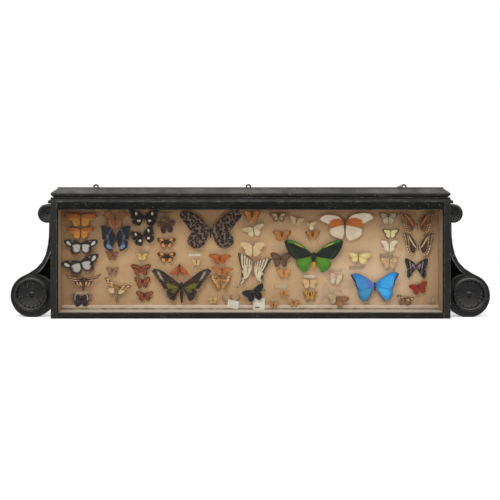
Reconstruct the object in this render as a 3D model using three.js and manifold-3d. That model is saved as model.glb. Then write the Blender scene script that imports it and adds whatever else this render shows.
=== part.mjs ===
// Glazed butterfly display case with carved scroll consoles at its ends.
// Millimetres. X runs along the case, Y from front to back, Z up. The origin is on the
// ground, in the middle of the case. Depths are counted from the front plane backwards.

import * as THREE from 'three';
import { mergeVertices } from 'three/addons/utils/BufferGeometryUtils.js';
import Module from 'manifold-3d';

const wasm = await Module();
wasm.setup();

// Driving dimensions
const caseDepth = 80;
const gap = 0.3;
const frame = { half: 480, depth: 19, stile: 15.5, bottomRail: 14.6, topFrom: 261.6, top: 281.2 };
const glass = { depth: 10, thickness: 3, rebate: 5 };
const carcase = { half: 470, side: 6.5, ceiling: 264, backBoard: 6 };
const lining = { depth: 65, filletHeight: 12, filletThickness: 4 };
const moulding = { fillet: 481, fascia: 487, from: 281.5, top: 291.5, drop: 4.6 };
const cornice = { from: 291.8, noseAt: 299, top: 315.9, nose: 480.4, neck: 474.3, crown: 466 };
const ledge = { depth: 63, height: 308.5 };
const eye = { x: [-380, -4, 380], depth: 71, centre: 316.8, ring: 5.9, wire: 1.3, shank: 8 };
const drum = { x: 530, z: 52, radius: 53.3 };
const volute = { x: 494, z: 252, radius: 23 };
const scroll = { front: 33, panel: 55, band: 10, foot: 30 };
const drumBoss = { x: 532.4, z: 55, radius: 40.5, seat: 46 };
const voluteBoss = { x: 494, z: 252, radius: 20, seat: 45 };

const y = (depth) => depth - caseDepth / 2;

// Finishes
const ebonised = { color: 0x2b2b2c, roughness: 0.55, metalness: 0 };
const paper = { color: 0xa58b6c, roughness: 0.9, metalness: 0 };
const card = { color: 0xd8cfba, roughness: 0.85, metalness: 0 };
const iron = { color: 0x4a453c, roughness: 0.5, metalness: 0.8 };
const pane = { color: 0xdfe6e2, roughness: 0.05, metalness: 0, transparent: true, opacity: 0.25 };
const bareBoard = { color: 0x5b4632, roughness: 0.85, metalness: 0 };

const group = new THREE.Group();

function addPiece(name, geometry, finish) {
  const mesh = new THREE.Mesh(geometry, new THREE.MeshStandardMaterial(finish));
  mesh.name = name;
  group.add(mesh);
  return mesh;
}

// Solids between the geometry classes and the boolean library
function toSolid(geometry) {
  const bare = geometry.clone();
  bare.deleteAttribute('normal');
  bare.deleteAttribute('uv');
  const merged = mergeVertices(bare, 1e-4);
  return new wasm.Manifold(new wasm.Mesh({
    numProp: 3,
    vertProperties: new Float32Array(merged.attributes.position.array),
    triVerts: new Uint32Array(merged.index.array),
  }));
}

function toGeometry(solid) {
  const mesh = solid.getMesh();
  const geometry = new THREE.BufferGeometry();
  geometry.setAttribute('position', new THREE.BufferAttribute(mesh.vertProperties, 3));
  geometry.setIndex(new THREE.BufferAttribute(mesh.triVerts, 1));
  geometry.computeVertexNormals();
  return geometry;
}

const join = (solids) => solids.reduce((whole, next) => whole.add(next));

// A box between two X, two depths and two heights
function block(x0, x1, front, back, z0, z1) {
  const geometry = new THREE.BoxGeometry(x1 - x0, back - front, z1 - z0);
  return geometry.translate((x0 + x1) / 2, y((front + back) / 2), (z0 + z1) / 2);
}

// An outline in X and Z, carried from one depth to another
function prism(points, front, back) {
  const shape = new THREE.Shape(points.map(([px, pz]) => new THREE.Vector2(px, pz)));
  const geometry = new THREE.ExtrudeGeometry(shape, { depth: back - front, bevelEnabled: false });
  return geometry.rotateX(Math.PI / 2).translate(0, y(back), 0);
}

// A turned piece whose axis runs front to back; the profile is radius and depth
function turned(profile, x, z, sides) {
  const points = profile.map(([radius, depth]) => new THREE.Vector2(radius, -depth));
  const geometry = new THREE.LatheGeometry(points, sides);
  return geometry.rotateX(Math.PI).translate(x, y(0), z);
}

function arc(centre, radius, fromDegrees, toDegrees, steps) {
  const points = [];
  for (let i = 0; i <= steps; i += 1) {
    const angle = THREE.MathUtils.degToRad(fromDegrees + (toDegrees - fromDegrees) * i / steps);
    points.push([centre.x + radius * Math.cos(angle), centre.z + radius * Math.sin(angle)]);
  }
  return points;
}

// Front frame: two stiles and two rails, rebated behind for the pane
const opening = frame.half - frame.stile + 0.5;
const rebateTo = glass.depth - gap;

function stile(side) {
  const face = block(opening, frame.half, 0, rebateTo, 0, frame.top);
  const edge = block(carcase.half + gap, frame.half, rebateTo - 1, frame.depth, 0, frame.top);
  const solid = toSolid(face).add(toSolid(edge));
  return toGeometry(side > 0 ? solid : solid.mirror([1, 0, 0]));
}

function rail(low, high, rebatedLow, rebatedHigh) {
  const reach = opening - gap;
  const face = block(-reach, reach, 0, rebateTo, low, high);
  const edge = block(-reach, reach, rebateTo - 1, glass.depth + glass.thickness, rebatedLow, rebatedHigh);
  return toGeometry(toSolid(face).add(toSolid(edge)));
}

addPiece('frame_stile_left', stile(-1), ebonised);
addPiece('frame_stile_right', stile(1), ebonised);
addPiece('frame_rail_bottom', rail(0, frame.bottomRail, 0, frame.bottomRail - glass.rebate), ebonised);
addPiece('frame_rail_top', rail(frame.topFrom, frame.top, frame.topFrom + glass.rebate, frame.top), ebonised);

const paneHalf = opening + glass.rebate - 1;
const paneLow = frame.bottomRail - glass.rebate + gap;
const paneHigh = frame.topFrom + glass.rebate - gap;
const paneBack = glass.depth + glass.thickness;
addPiece('glass_pane', block(-paneHalf, paneHalf, glass.depth, paneBack, paneLow, paneHigh), pane);

// Carcase: two sides, bottom, top and a back board set between them
const behindGlass = paneBack + gap;
const inner = carcase.half - carcase.side;
const span = inner - gap;
const backFrom = caseDepth - carcase.backBoard;
const boardBack = backFrom - gap;
addPiece('case_side_left', block(-carcase.half, -inner, behindGlass, caseDepth, 0, frame.top), ebonised);
addPiece('case_side_right', block(inner, carcase.half, behindGlass, caseDepth, 0, frame.top), ebonised);
addPiece('case_bottom', block(-span, span, behindGlass, boardBack, 0, frame.bottomRail - gap), ebonised);
addPiece('case_top', block(-span, span, behindGlass, boardBack, carcase.ceiling, frame.top), ebonised);
addPiece('back_board', block(-span, span, backFrom, caseDepth, 0, frame.top), bareBoard);

// The papered panel that the pins go into, and the papered fillet at its foot
const floor = frame.bottomRail;
addPiece('backing_panel', block(-span, span, lining.depth, boardBack, floor, carcase.ceiling - gap), paper);
const filletBack = lining.depth - gap;
const filletFront = filletBack - lining.filletThickness;
const filletTop = floor + lining.filletHeight;
addPiece('lining_fillet', block(-span, span, filletFront, filletBack, floor, filletTop), paper);

// A board with one profile carried round its front and its two ends, mitred at the corners.
// Each step of the profile is half the length, the depth of the front, and the height.
function mouldedBoard(profile) {
  const positions = [];
  for (const [half, front, height] of profile) {
    positions.push(-half, y(front), height, half, y(front), height);
    positions.push(half, y(caseDepth), height, -half, y(caseDepth), height);
  }
  const index = [0, 2, 1, 0, 3, 2];
  for (let ring = 0; ring < profile.length - 1; ring += 1) {
    for (let corner = 0; corner < 4; corner += 1) {
      const a = ring * 4 + corner;
      const b = ring * 4 + (corner + 1) % 4;
      index.push(a, b, b + 4, a, b + 4, a + 4);
    }
  }
  const last = (profile.length - 1) * 4;
  index.push(last, last + 1, last + 2, last, last + 2, last + 3);
  const geometry = new THREE.BufferGeometry();
  geometry.setAttribute('position', new THREE.Float32BufferAttribute(positions, 3));
  geometry.setIndex(index);
  geometry.computeVertexNormals();
  return geometry;
}

// Upper moulding: fascia, cove and fillet, with a short drop behind each stile's edge
const coveDepth = moulding.fascia - moulding.fillet;
const mouldingProfile = [
  [moulding.fascia, 0, moulding.from],
  [moulding.fascia, 0, 283.5],
  [moulding.fascia - 0.45 * coveDepth, 0.45 * coveDepth, 284.4],
  [moulding.fascia - 0.85 * coveDepth, 0.85 * coveDepth, 286.2],
  [moulding.fillet, coveDepth, 288],
  [moulding.fillet, coveDepth, moulding.top],
];
const dropFrom = moulding.from - moulding.drop;
const dropTo = moulding.from + 1;
const wall = carcase.half + gap;
const dropBehind = block(wall, moulding.fascia, frame.depth + gap, caseDepth, dropFrom, dropTo);
const dropBeside = block(frame.half + gap, moulding.fascia, 2, frame.depth + 1, dropFrom, dropTo);
const drop = toSolid(dropBehind).add(toSolid(dropBeside));
const mouldingSolid = join([toSolid(mouldedBoard(mouldingProfile)), drop, drop.mirror([1, 0, 0])]);
addPiece('upper_moulding', toGeometry(mouldingSolid), ebonised);

// Cornice: undercut neck, rounded nose, ogee slope, upright crown, and a low ledge
// along the back that holds the screw eyes
const corniceProfile = [
  [cornice.neck, 6.1, cornice.from],
  [477.6, 2.8, 294.9],
  [479.8, 0.6, 297.2],
  [cornice.nose, 0, cornice.noseAt],
  [480, 0.4, 301.2],
  [477.3, 3.1, 304.2],
  [473.3, 7.1, 307.4],
  [469.7, 10.7, 309.6],
  [467.4, 13, 311.6],
  [cornice.crown, 14.4, 313],
  [cornice.crown, 14.4, cornice.top],
];
const ledgeReach = moulding.fascia;
const ledgeCut = block(-ledgeReach, ledgeReach, ledge.depth, caseDepth + 5, ledge.height, cornice.top + 5);
const shankHoles = eye.x.map((x) => {
  const hole = new THREE.CylinderGeometry(eye.wire + gap, eye.wire + gap, eye.shank + 6, 8);
  return toSolid(hole.rotateX(Math.PI / 2).translate(x, y(eye.depth), ledge.height - eye.shank / 2 + 3));
});
const corniceBlank = toSolid(mouldedBoard(corniceProfile)).subtract(toSolid(ledgeCut));
addPiece('cornice', toGeometry(corniceBlank.subtract(join(shankHoles))), ebonised);

// Screw eyes: an upright ring facing front, on a shank that stands in the ledge
eye.x.forEach((x, i) => {
  const ring = new THREE.TorusGeometry(eye.ring, eye.wire, 6, 14).rotateX(Math.PI / 2);
  const shankTop = eye.centre - eye.ring;
  const shankFoot = ledge.height - eye.shank + 1;
  const shank = new THREE.CylinderGeometry(eye.wire, eye.wire, shankTop - shankFoot, 8).rotateX(Math.PI / 2);
  shank.translate(0, 0, (shankTop + shankFoot) / 2 - eye.centre);
  const solid = toSolid(ring).add(toSolid(shank)).translate([x, y(eye.depth), eye.centre]);
  addPiece(`screw_eye_${['left', 'middle', 'right'][i]}`, toGeometry(solid), iron);
});

// Scroll console: a full outline behind, and a raised layer with the band, drum and volute.
// The outline is drawn for the right-hand end.
const outerSweep = [
  [489.4, 220], [489.9, 198], [492.2, 176], [497.8, 152], [506.5, 134], [521, 118.5], [539, 107],
];
const innerSweep = [
  [514, 109], [502, 122.5], [492.4, 139], [485.2, 157], [481.6, 180], [479.8, 205], [479.4, 226],
];

const radians = THREE.MathUtils.degToRad;
const footHalf = Math.sqrt(drum.radius ** 2 - drum.z ** 2);
const footAngle = THREE.MathUtils.radToDeg(Math.atan2(-drum.z, footHalf));
const heelAngle = 180 + THREE.MathUtils.radToDeg(Math.asin((drum.z - scroll.foot) / drum.radius));
const outside = [
  ...arc(volute, volute.radius, 180, -102, 15), ...outerSweep, ...arc(drum, drum.radius, 60, footAngle, 14),
];
const bodyOutline = [
  [wall, volute.z], ...outside, ...arc(drum, drum.radius, 180 - footAngle, heelAngle, 5), [wall, scroll.foot],
];
const raisedOutline = [
  ...outside, ...arc(drum, drum.radius, 180 - footAngle, 100, 14),
  ...innerSweep, ...arc(volute, volute.radius, 230, 188, 3),
];

function boreFor(boss) {
  const bore = new THREE.CylinderGeometry(boss.radius + gap, boss.radius + gap, 40, 28);
  return toSolid(bore.translate(boss.x, y(boss.seat + gap - 20), boss.z));
}

const consoleBlank = toSolid(prism(bodyOutline, scroll.panel, caseDepth))
  .add(toSolid(prism(raisedOutline, scroll.front, scroll.panel + 1)));
const rightConsole = consoleBlank.subtract(boreFor(drumBoss)).subtract(boreFor(voluteBoss));
addPiece('console_left', toGeometry(rightConsole.mirror([1, 0, 0])), ebonised);
addPiece('console_right', toGeometry(rightConsole), ebonised);

// Turned bosses: a proud ring, a dished face and a knob
const drumBossProfile = [
  [0, 46], [40.5, 46], [40.5, 24], [38.2, 22], [35.3, 24],
  [33, 32], [17, 38.6], [6.7, 40], [5.4, 36.6], [0, 35.2],
];
const voluteBossProfile = [
  [0, 45], [20, 45], [20, 32.4], [18.8, 31.4], [17.6, 32.6], [14.5, 38], [4.6, 41], [3.6, 38], [0, 37],
];
for (const [side, label] of [[-1, 'left'], [1, 'right']]) {
  const drumFace = turned(drumBossProfile, side * drumBoss.x, drumBoss.z, 24);
  const voluteFace = turned(voluteBossProfile, side * voluteBoss.x, voluteBoss.z, 18);
  addPiece(`drum_boss_${label}`, drumFace, ebonised);
  addPiece(`volute_boss_${label}`, voluteFace, ebonised);
}

// Data cards: one stands against the fillet, one leans on it
addPiece('data_card_upright', block(7, 36, 59.6, 60.2, floor + gap, floor + 29), card);
const leaning = prism([[-13.5, -10], [13.5, -10], [13.5, 10], [-13.5, 10]], 0, 0.6);
leaning.translate(0, -y(0), 0).rotateY(radians(11)).translate(-42, y(59), floor + 13.5);
addPiece('data_card_leaning', leaning, card);

// Wing outlines in half spans, out from the body and up from the wing root
const wings = {
  greenBirdwing: {
    fore: [[0.03, 0.02], [0.32, 0.27], [0.74, 0.49], [0.92, 0.5], [1, 0.44], [0.8, 0.01], [0.57, -0.17]],
    hind: [[0.03, 0.02], [0.55, -0.15], [0.58, -0.31], [0.43, -0.53], [0.28, -0.6], [0.17, -0.45]],
  },
  blackBirdwing: {
    fore: [[0.03, 0], [0.52, 0.39], [0.86, 0.56], [0.98, 0.5], [0.79, 0.17], [0.55, -0.13], [0.03, -0.12]],
    hind: [[0.03, -0.06], [0.52, -0.1], [0.53, -0.32], [0.33, -0.54], [0.24, -0.54], [0.12, -0.3]],
  },
  treeNymph: {
    fore: [[0.03, 0.05], [0.33, 0.4], [0.71, 0.6], [0.92, 0.63], [1, 0.5], [0.71, 0.08], [0.58, 0]],
    hind: [[0.03, 0.05], [0.6, 0.02], [0.75, -0.3], [0.5, -0.54], [0.22, -0.43], [0.03, -0.1]],
  },
  roundWing: {
    fore: [[0.02, 0.06], [0.26, 0.31], [0.68, 0.4], [0.92, 0.32], [1, 0.2], [0.72, 0.02], [0.62, -0.13]],
    hind: [[0.02, 0.06], [0.59, -0.1], [0.6, -0.33], [0.39, -0.54], [0.17, -0.61], [0.05, -0.4]],
  },
  morpho: {
    fore: [[0.03, 0.04], [0.32, 0.256], [0.73, 0.456], [1, 0.4], [0.82, 0.1], [0.69, -0.116]],
    hind: [[0.03, 0.04], [0.7, -0.1], [0.64, -0.4], [0.42, -0.64], [0.27, -0.54], [0.08, -0.23]],
  },
  longWing: {
    fore: [[0.02, 0.04], [0.46, 0.175], [0.82, 0.16], [1, 0.06], [0.7, -0.1], [0.55, -0.22]],
    hind: [[0.02, 0.04], [0.55, -0.15], [0.52, -0.36], [0.3, -0.53], [0.12, -0.44], [0.03, -0.1]],
  },
  broadWing: {
    fore: [[0.02, 0.03], [0.35, 0.2], [0.85, 0.235], [1, 0.15], [0.75, -0.17], [0.58, -0.27]],
    hind: [[0.02, 0.03], [0.58, -0.18], [0.47, -0.52], [0.3, -0.66], [0.15, -0.64], [0.04, -0.3]],
  },
  raisedWing: {
    fore: [[0.02, 0.04], [0.22, 0.3], [0.6, 0.5], [1, 0.55], [0.86, 0.1], [0.68, -0.15]],
    hind: [[0.02, 0.04], [0.72, -0.1], [0.66, -0.45], [0.42, -0.7], [0.2, -0.6], [0.03, -0.15]],
  },
  tailedWing: {
    fore: [[0.02, 0.05], [0.4, 0.34], [0.82, 0.5], [1, 0.45], [0.61, -0.43]],
    hind: [
      [0.02, 0.05], [0.6, -0.35], [0.62, -0.85], [0.8, -1.36], [0.74, -1.36], [0.34, -0.95], [0.03, -0.2],
    ],
  },
  hawkWing: {
    fore: [[0.02, 0.06], [0.5, 0.18], [0.98, 0.32], [1, 0.26], [0.6, 0]],
    hind: [[0.02, 0.06], [0.6, 0.04], [0.5, -0.12], [0.2, -0.26], [0.04, -0.2]],
  },
  foldedMoth: {
    fore: [[0.02, 0.3], [0.6, 0.1], [1, -0.5], [0.86, -0.6], [0.5, -0.3], [0.02, -0.1]],
    hind: [[0.02, 0.1], [0.6, -0.25], [0.3, -0.52], [0.12, -0.35]],
  },
};

// Spread specimens: where the body is pinned (X and height), half span, turn in degrees,
// how far the wings stand off the lining, and a colour
const specimens = [
  ['longwing_orange_top', 'longWing', -416, 241, 42, 0, 12, 0xb5652c],
  ['longwing_orange_second', 'longWing', -417, 207, 34, 3, 9, 0xc07a34],
  ['admiral_white_upper', 'broadWing', -414, 177, 41, 2, 12, 0x3a302b],
  ['admiral_white_lower', 'broadWing', -417, 135, 45, 16, 9, 0x3a302b],
  ['hawkmoth_striped', 'hawkWing', -411, 87, 42, 2, 13, 0x7d5a45],
  ['emperor_purple_white', 'broadWing', -415, 46, 26, 0, 8, 0x3c2f33],
  ['leafwing_russet', 'broadWing', -334, 241, 28, 0, 8, 0x9a5634],
  ['nymphalid_blue_band', 'raisedWing', -329, 193, 35, -2, 12, 0x2f3140],
  ['tiger_moth_cream', 'longWing', -329, 64, 36, 8, 10, 0xb07a50],
  ['eggfly_black_top', 'raisedWing', -261, 239, 36, 0, 9, 0x2a2524],
  ['eggfly_black_turned', 'broadWing', -262, 197, 29, 22, 12, 0x352b28],
  ['brown_orange_tips', 'broadWing', -205, 221, 23, 6, 9, 0x3f3430],
  ['bark_orange_upper', 'broadWing', -205, 186, 23, 0, 9, 0xb57433],
  ['bark_orange_lower', 'broadWing', -205, 150, 23, 0, 9, 0xb57433],
  ['bush_orange_striped', 'broadWing', -268, 117, 24, 0, 9, 0x9a4f28],
  ['tree_nymph_grey', 'treeNymph', -99, 213, 76, 0, 12, 0x6b5f55],
  ['moth_orange_folded', 'foldedMoth', -171, 112, 23, 0, 9, 0xb8602c],
  ['birdwing_black_green', 'blackBirdwing', -168, 80, 71.5, 0, 12, 0x332a26],
  ['acraea_orange_upper', 'longWing', -76, 149, 28, -2, 9, 0xc06a2c],
  ['acraea_orange_lower', 'longWing', -69, 115, 25, -8, 9, 0xc87a34],
  ['painted_orange', 'broadWing', -73, 85, 27, 0, 9, 0xc08a4a],
  ['white_slender_moth', 'broadWing', 5, 214, 29, 6, 9, 0xcabb94],
  ['white_cream', 'broadWing', 7, 172, 29, 2, 12, 0xd8c79c],
  ['swallowtail_zebra', 'tailedWing', 5, 127, 42, -3, 9, 0xcfc2a4],
  ['brown_purple', 'raisedWing', 75, 139, 25, 0, 9, 0x6a4a44],
  ['swallowtail_black_small', 'broadWing', 7, 62, 25, 12, 12, 0x2c2928],
  ['birdwing_green', 'greenBirdwing', 156, 152, 70.5, 0, 12, 0x3f8a2c],
  ['white_orange_band', 'roundWing', 232, 227, 66, 2, 9, 0xcdbf9f],
  ['leaf_brown', 'broadWing', 209, 44, 31, -12, 9, 0x966a45],
  ['sulphur_pale', 'broadWing', 266, 145, 30, -4, 9, 0xd9c56c],
  ['morpho_blue', 'morpho', 303, 80, 60, 2, 12, 0x3f7fd0],
  ['swordtail_orange_band', 'raisedWing', 407, 228, 42, 0, 12, 0x6a4a36],
  ['swordtail_cream_band', 'raisedWing', 412, 172, 38, 0, 9, 0x6a5442],
  ['jay_purple_spot', 'raisedWing', 406, 119, 28, 0, 9, 0x3a3234],
  ['glider_red', 'broadWing', 409, 72, 22, 12, 9, 0xa83a24],
];

const wingThickness = 0.8;
const pinHead = 8;
const bodyLengths = { hawkWing: 0.78, foldedMoth: 0.7, blackBirdwing: 0.6, tailedWing: 0.55 };

// The body: a six-sided spindle from the head to the tip of the abdomen
function spindle(half, length) {
  const width = Math.max(1.2, half * 0.055);
  const profile = [[0, -0.66], [width * 0.8, -0.3], [width, 0.12], [0, 0.34]];
  const points = profile.map(([radius, along]) => new THREE.Vector2(radius, along * length));
  return toSolid(new THREE.LatheGeometry(points, 5).rotateX(Math.PI / 2));
}

// Both pairs of wings in one sheet, the body across it, and the pin that goes through the body
function specimen(kind, half, standOff) {
  const sheets = [wings[kind].fore, wings[kind].hind].map((outline) => {
    const points = outline.map(([u, v]) => [u * half, v * half]);
    return toSolid(prism(points, -wingThickness / 2, wingThickness / 2));
  });
  const side = join(sheets);
  const body = spindle(half, half * (bodyLengths[kind] ?? 0.62)).translate([0, y(0), 0]);
  const pinEnd = standOff - gap;
  const pin = new THREE.CylinderGeometry(0.4, 0.4, pinEnd + pinHead, 3);
  pin.translate(0, y((pinEnd - pinHead) / 2), 0);
  return join([side, side.mirror([1, 0, 0]), body, toSolid(pin)]);
}

for (const [name, kind, x, z, half, turn, standOff, color] of specimens) {
  const solid = specimen(kind, half, standOff).translate([0, -y(0), 0]);
  const mesh = addPiece(name, toGeometry(solid), { color, roughness: 0.8, metalness: 0 });
  mesh.rotation.y = -radians(turn);
  mesh.position.set(x, y(lining.depth - standOff), z);
}

export default group;
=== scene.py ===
import math

import bpy
from mathutils import Matrix, Vector


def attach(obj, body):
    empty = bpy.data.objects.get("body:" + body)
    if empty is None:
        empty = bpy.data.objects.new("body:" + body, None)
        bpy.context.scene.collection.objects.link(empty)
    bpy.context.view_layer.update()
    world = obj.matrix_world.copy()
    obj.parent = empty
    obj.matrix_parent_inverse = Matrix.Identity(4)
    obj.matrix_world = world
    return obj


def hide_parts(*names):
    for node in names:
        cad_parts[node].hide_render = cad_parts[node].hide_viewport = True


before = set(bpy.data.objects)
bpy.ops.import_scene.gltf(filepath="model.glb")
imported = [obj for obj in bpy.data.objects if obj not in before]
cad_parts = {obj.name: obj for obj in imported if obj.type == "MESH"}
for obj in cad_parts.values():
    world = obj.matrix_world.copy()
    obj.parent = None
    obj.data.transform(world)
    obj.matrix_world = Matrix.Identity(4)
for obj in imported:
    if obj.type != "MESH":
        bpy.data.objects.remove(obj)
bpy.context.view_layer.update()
print("case read in")

mm = 0.001
caseDepth = 0.080


def depthAt(depth):  # millimetres behind the front of the frame, as a Y in metres
    return depth * mm - caseDepth / 2


def shade(code):  # a #rrggbb colour as linear light
    parts = [int(code[i : i + 2], 16) / 255 for i in (1, 3, 5)]
    return tuple(c / 12.92 if c <= 0.04045 else ((c + 0.055) / 1.055) ** 2.4 for c in parts) + (1.0,)


def dimmed(code, share):
    return tuple(c * share for c in shade(code)[:3]) + (1.0,)


# Shader sums: a socket that takes part in ordinary arithmetic
class Signal:
    def __init__(self, tree, socket):
        self.tree = tree
        self.socket = socket

    def math(self, kind, *values):
        node = self.tree.nodes.new("ShaderNodeMath")
        node.operation = kind
        for slot, value in zip(node.inputs, values):
            plug(self.tree, slot, value)
        return Signal(self.tree, node.outputs[0])

    def __pow__(self, other):
        return self.math("POWER", self, other)

    def __abs__(self):
        return self.math("ABSOLUTE", self)

    def fract(self):
        return self.math("FRACT", self)

    def over(self, limit, soft=0.02):  # 0 below the limit, 1 above it
        node = self.tree.nodes.new("ShaderNodeMapRange")
        node.interpolation_type = "SMOOTHSTEP"
        plug(self.tree, node.inputs["Value"], self)
        node.inputs["From Min"].default_value = limit - soft
        node.inputs["From Max"].default_value = limit + soft
        return Signal(self.tree, node.outputs["Result"])

    def under(self, limit, soft=0.02):
        return 1 - self.over(limit, soft)


for sign, kind in (("add", "ADD"), ("sub", "SUBTRACT"), ("mul", "MULTIPLY"), ("truediv", "DIVIDE")):
    setattr(Signal, f"__{sign}__", lambda one, two, kind=kind: one.math(kind, one, two))
    setattr(Signal, f"__r{sign}__", lambda one, two, kind=kind: one.math(kind, two, one))


def plug(tree, slot, value):
    if isinstance(value, Signal):
        tree.links.new(value.socket, slot)
    else:
        slot.default_value = value


# One material: a principled shader, and the nodes that feed it
class Finish:
    def __init__(self, name, rough=0.6, **fixed):
        self.mat = bpy.data.materials.new(name)
        self.mat.use_nodes = True
        self.tree = self.mat.node_tree
        self.shader = self.tree.nodes["Principled BSDF"]
        self.shader.inputs["Roughness"].default_value = rough
        for key, value in fixed.items():
            self.shader.inputs[key.replace("_", " ")].default_value = value

    def add(self, kind, settings=None, values=None, out=0):
        node = self.tree.nodes.new(kind)
        for key, value in (settings or {}).items():
            setattr(node, key, value)
        for key, value in (values or {}).items():
            plug(self.tree, node.inputs[key], value)
        return Signal(self.tree, node.outputs[out])

    def feed(self, name, value):
        plug(self.tree, self.shader.inputs[name], value)

    def place(self, stretch=(1, 1, 1), turn=(0, 0, 0)):
        spot = self.add("ShaderNodeTexCoord", out="Object")
        return self.add("ShaderNodeMapping", None, {"Vector": spot, "Scale": stretch, "Rotation": turn})

    def axes(self, vector):
        node = self.tree.nodes.new("ShaderNodeSeparateXYZ")
        plug(self.tree, node.inputs[0], vector)
        return [Signal(self.tree, socket) for socket in node.outputs]

    def noise(self, vector, scale, detail=3.0, rough=0.55):
        values = {"Vector": vector, "Scale": scale, "Detail": detail, "Roughness": rough}
        return self.add("ShaderNodeTexNoise", None, values)

    def cells(self, vector, scale):
        return self.add("ShaderNodeTexVoronoi", None, {"Vector": vector, "Scale": scale})

    def mix(self, mask, under, top):
        return self.add("ShaderNodeMix", {"data_type": "RGBA"}, {0: mask, 6: under, 7: top}, out=2)

    def bump(self, height, strength=0.3, distance=0.0005):
        values = {"Height": height, "Strength": strength, "Distance": distance}
        self.feed("Normal", self.add("ShaderNodeBump", None, values))


def only(*pieces):
    bpy.ops.object.select_all(action="DESELECT")
    for piece in pieces:
        piece.select_set(True)
    bpy.context.view_layer.objects.active = pieces[0]


def joined(name, pieces):
    only(*pieces)
    if len(pieces) > 1:
        bpy.ops.object.join()
    piece = bpy.context.object
    piece.name = name
    piece.data.name = name
    return piece


def twin(piece, name):  # a second piece with a mesh of its own
    other = bpy.data.objects.new(name, piece.data.copy())
    bpy.context.collection.objects.link(other)
    return other


def thicken(piece, thickness, rim=0):  # the rim takes the material that many slots further on
    only(piece)
    bpy.ops.object.modifier_add(type="SOLIDIFY")
    sheet = piece.modifiers[0]
    sheet.thickness = thickness
    sheet.material_offset_rim = rim
    bpy.ops.object.modifier_apply(modifier=sheet.name)


def smooth(degrees):
    bpy.ops.object.shade_smooth_by_angle(angle=math.radians(degrees))


def faceOut(degrees):  # faces of the active piece turned outwards, then smoothed
    bpy.ops.object.mode_set(mode="EDIT")
    bpy.ops.mesh.select_all(action="SELECT")
    bpy.ops.mesh.normals_make_consistent(inside=False)
    bpy.ops.object.mode_set(mode="OBJECT")
    smooth(degrees)


def finished(piece, slot, *nodes):  # settled at the origin, riding on the case
    only(piece)
    bpy.ops.object.transform_apply(location=True, rotation=True, scale=True)
    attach(piece, "root")
    if nodes:
        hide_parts(*nodes)
    return piece


# Room: pale floor, a large soft light from above the front, a smaller one from the right,
# and an even surround
room = dict(
    floor=dict(width=4.8, length=2.45, middle=-0.52),
    camera=(-0.0494, -2.54, 0.311),
    lens=75,
    shift=(0.04, -0.1215),
    surround=0.46,
    glow=0.46,
    key=dict(place=(-0.7, -2.2, 2.7), aim=(0, 0, 0.12), size=2.2, power=92),
    side=dict(place=(2.6, -1.8, 1.6), aim=(0, 0, 0.15), size=1.6, power=22),
)


def turnedTo(start, target):
    return (Vector(target) - Vector(start)).to_track_quat("-Z", "Y").to_euler()


def makeRoom():
    bpy.ops.object.camera_add(location=room["camera"], rotation=(math.pi / 2, 0, 0))
    camera = bpy.context.object
    camera.data.lens = room["lens"]
    camera.data.sensor_width = 36
    camera.data.shift_x, camera.data.shift_y = room["shift"]
    bpy.context.scene.camera = camera
    for name in ("key", "side"):
        light = room[name]
        bpy.ops.object.light_add(
            type="AREA", location=light["place"], rotation=turnedTo(light["place"], light["aim"])
        )
        lamp = bpy.context.object.data
        lamp.size = light["size"]
        lamp.energy = light["power"]
    sheet = room["floor"]
    bpy.ops.mesh.primitive_plane_add(size=1, location=(0, sheet["middle"], 0))
    bpy.ops.transform.resize(value=(sheet["width"], sheet["length"], 1))
    floor = bpy.context.object
    floor.name = "studio_floor"
    paint = Finish("studio floor", rough=0.9, Base_Color=(0.95, 0.95, 0.95, 1), Emission_Color=(1, 1, 1, 1))
    paint.shader.inputs["Emission Strength"].default_value = room["glow"]
    floor.data.materials.append(paint.mat)
    world = bpy.data.worlds.new("studio surround")
    world.use_nodes = True
    tree = world.node_tree
    light = tree.nodes["Background"]
    light.inputs["Color"].default_value = (1, 1, 1, 1)
    light.inputs["Strength"].default_value = room["surround"]
    paper = tree.nodes.new("ShaderNodeBackground")  # the white paper roll behind the case
    paper.inputs["Color"].default_value = (1, 1, 1, 1)
    seen = tree.nodes.new("ShaderNodeLightPath")
    both = tree.nodes.new("ShaderNodeMixShader")
    tree.links.new(seen.outputs["Is Camera Ray"], both.inputs[0])
    tree.links.new(light.outputs[0], both.inputs[1])
    tree.links.new(paper.outputs[0], both.inputs[2])
    tree.links.new(both.outputs[0], tree.nodes["World Output"].inputs["Surface"])
    bpy.context.scene.world = world
    bpy.context.scene.view_settings.view_transform = "Standard"


makeRoom()
print("room set")

# Ebonised wood: black stain gone grey, with wear where hands and cloths reach
ebony = dict(dark="#070707", light="#131313", recessShade="#030303", dust="#8b8882")


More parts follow.
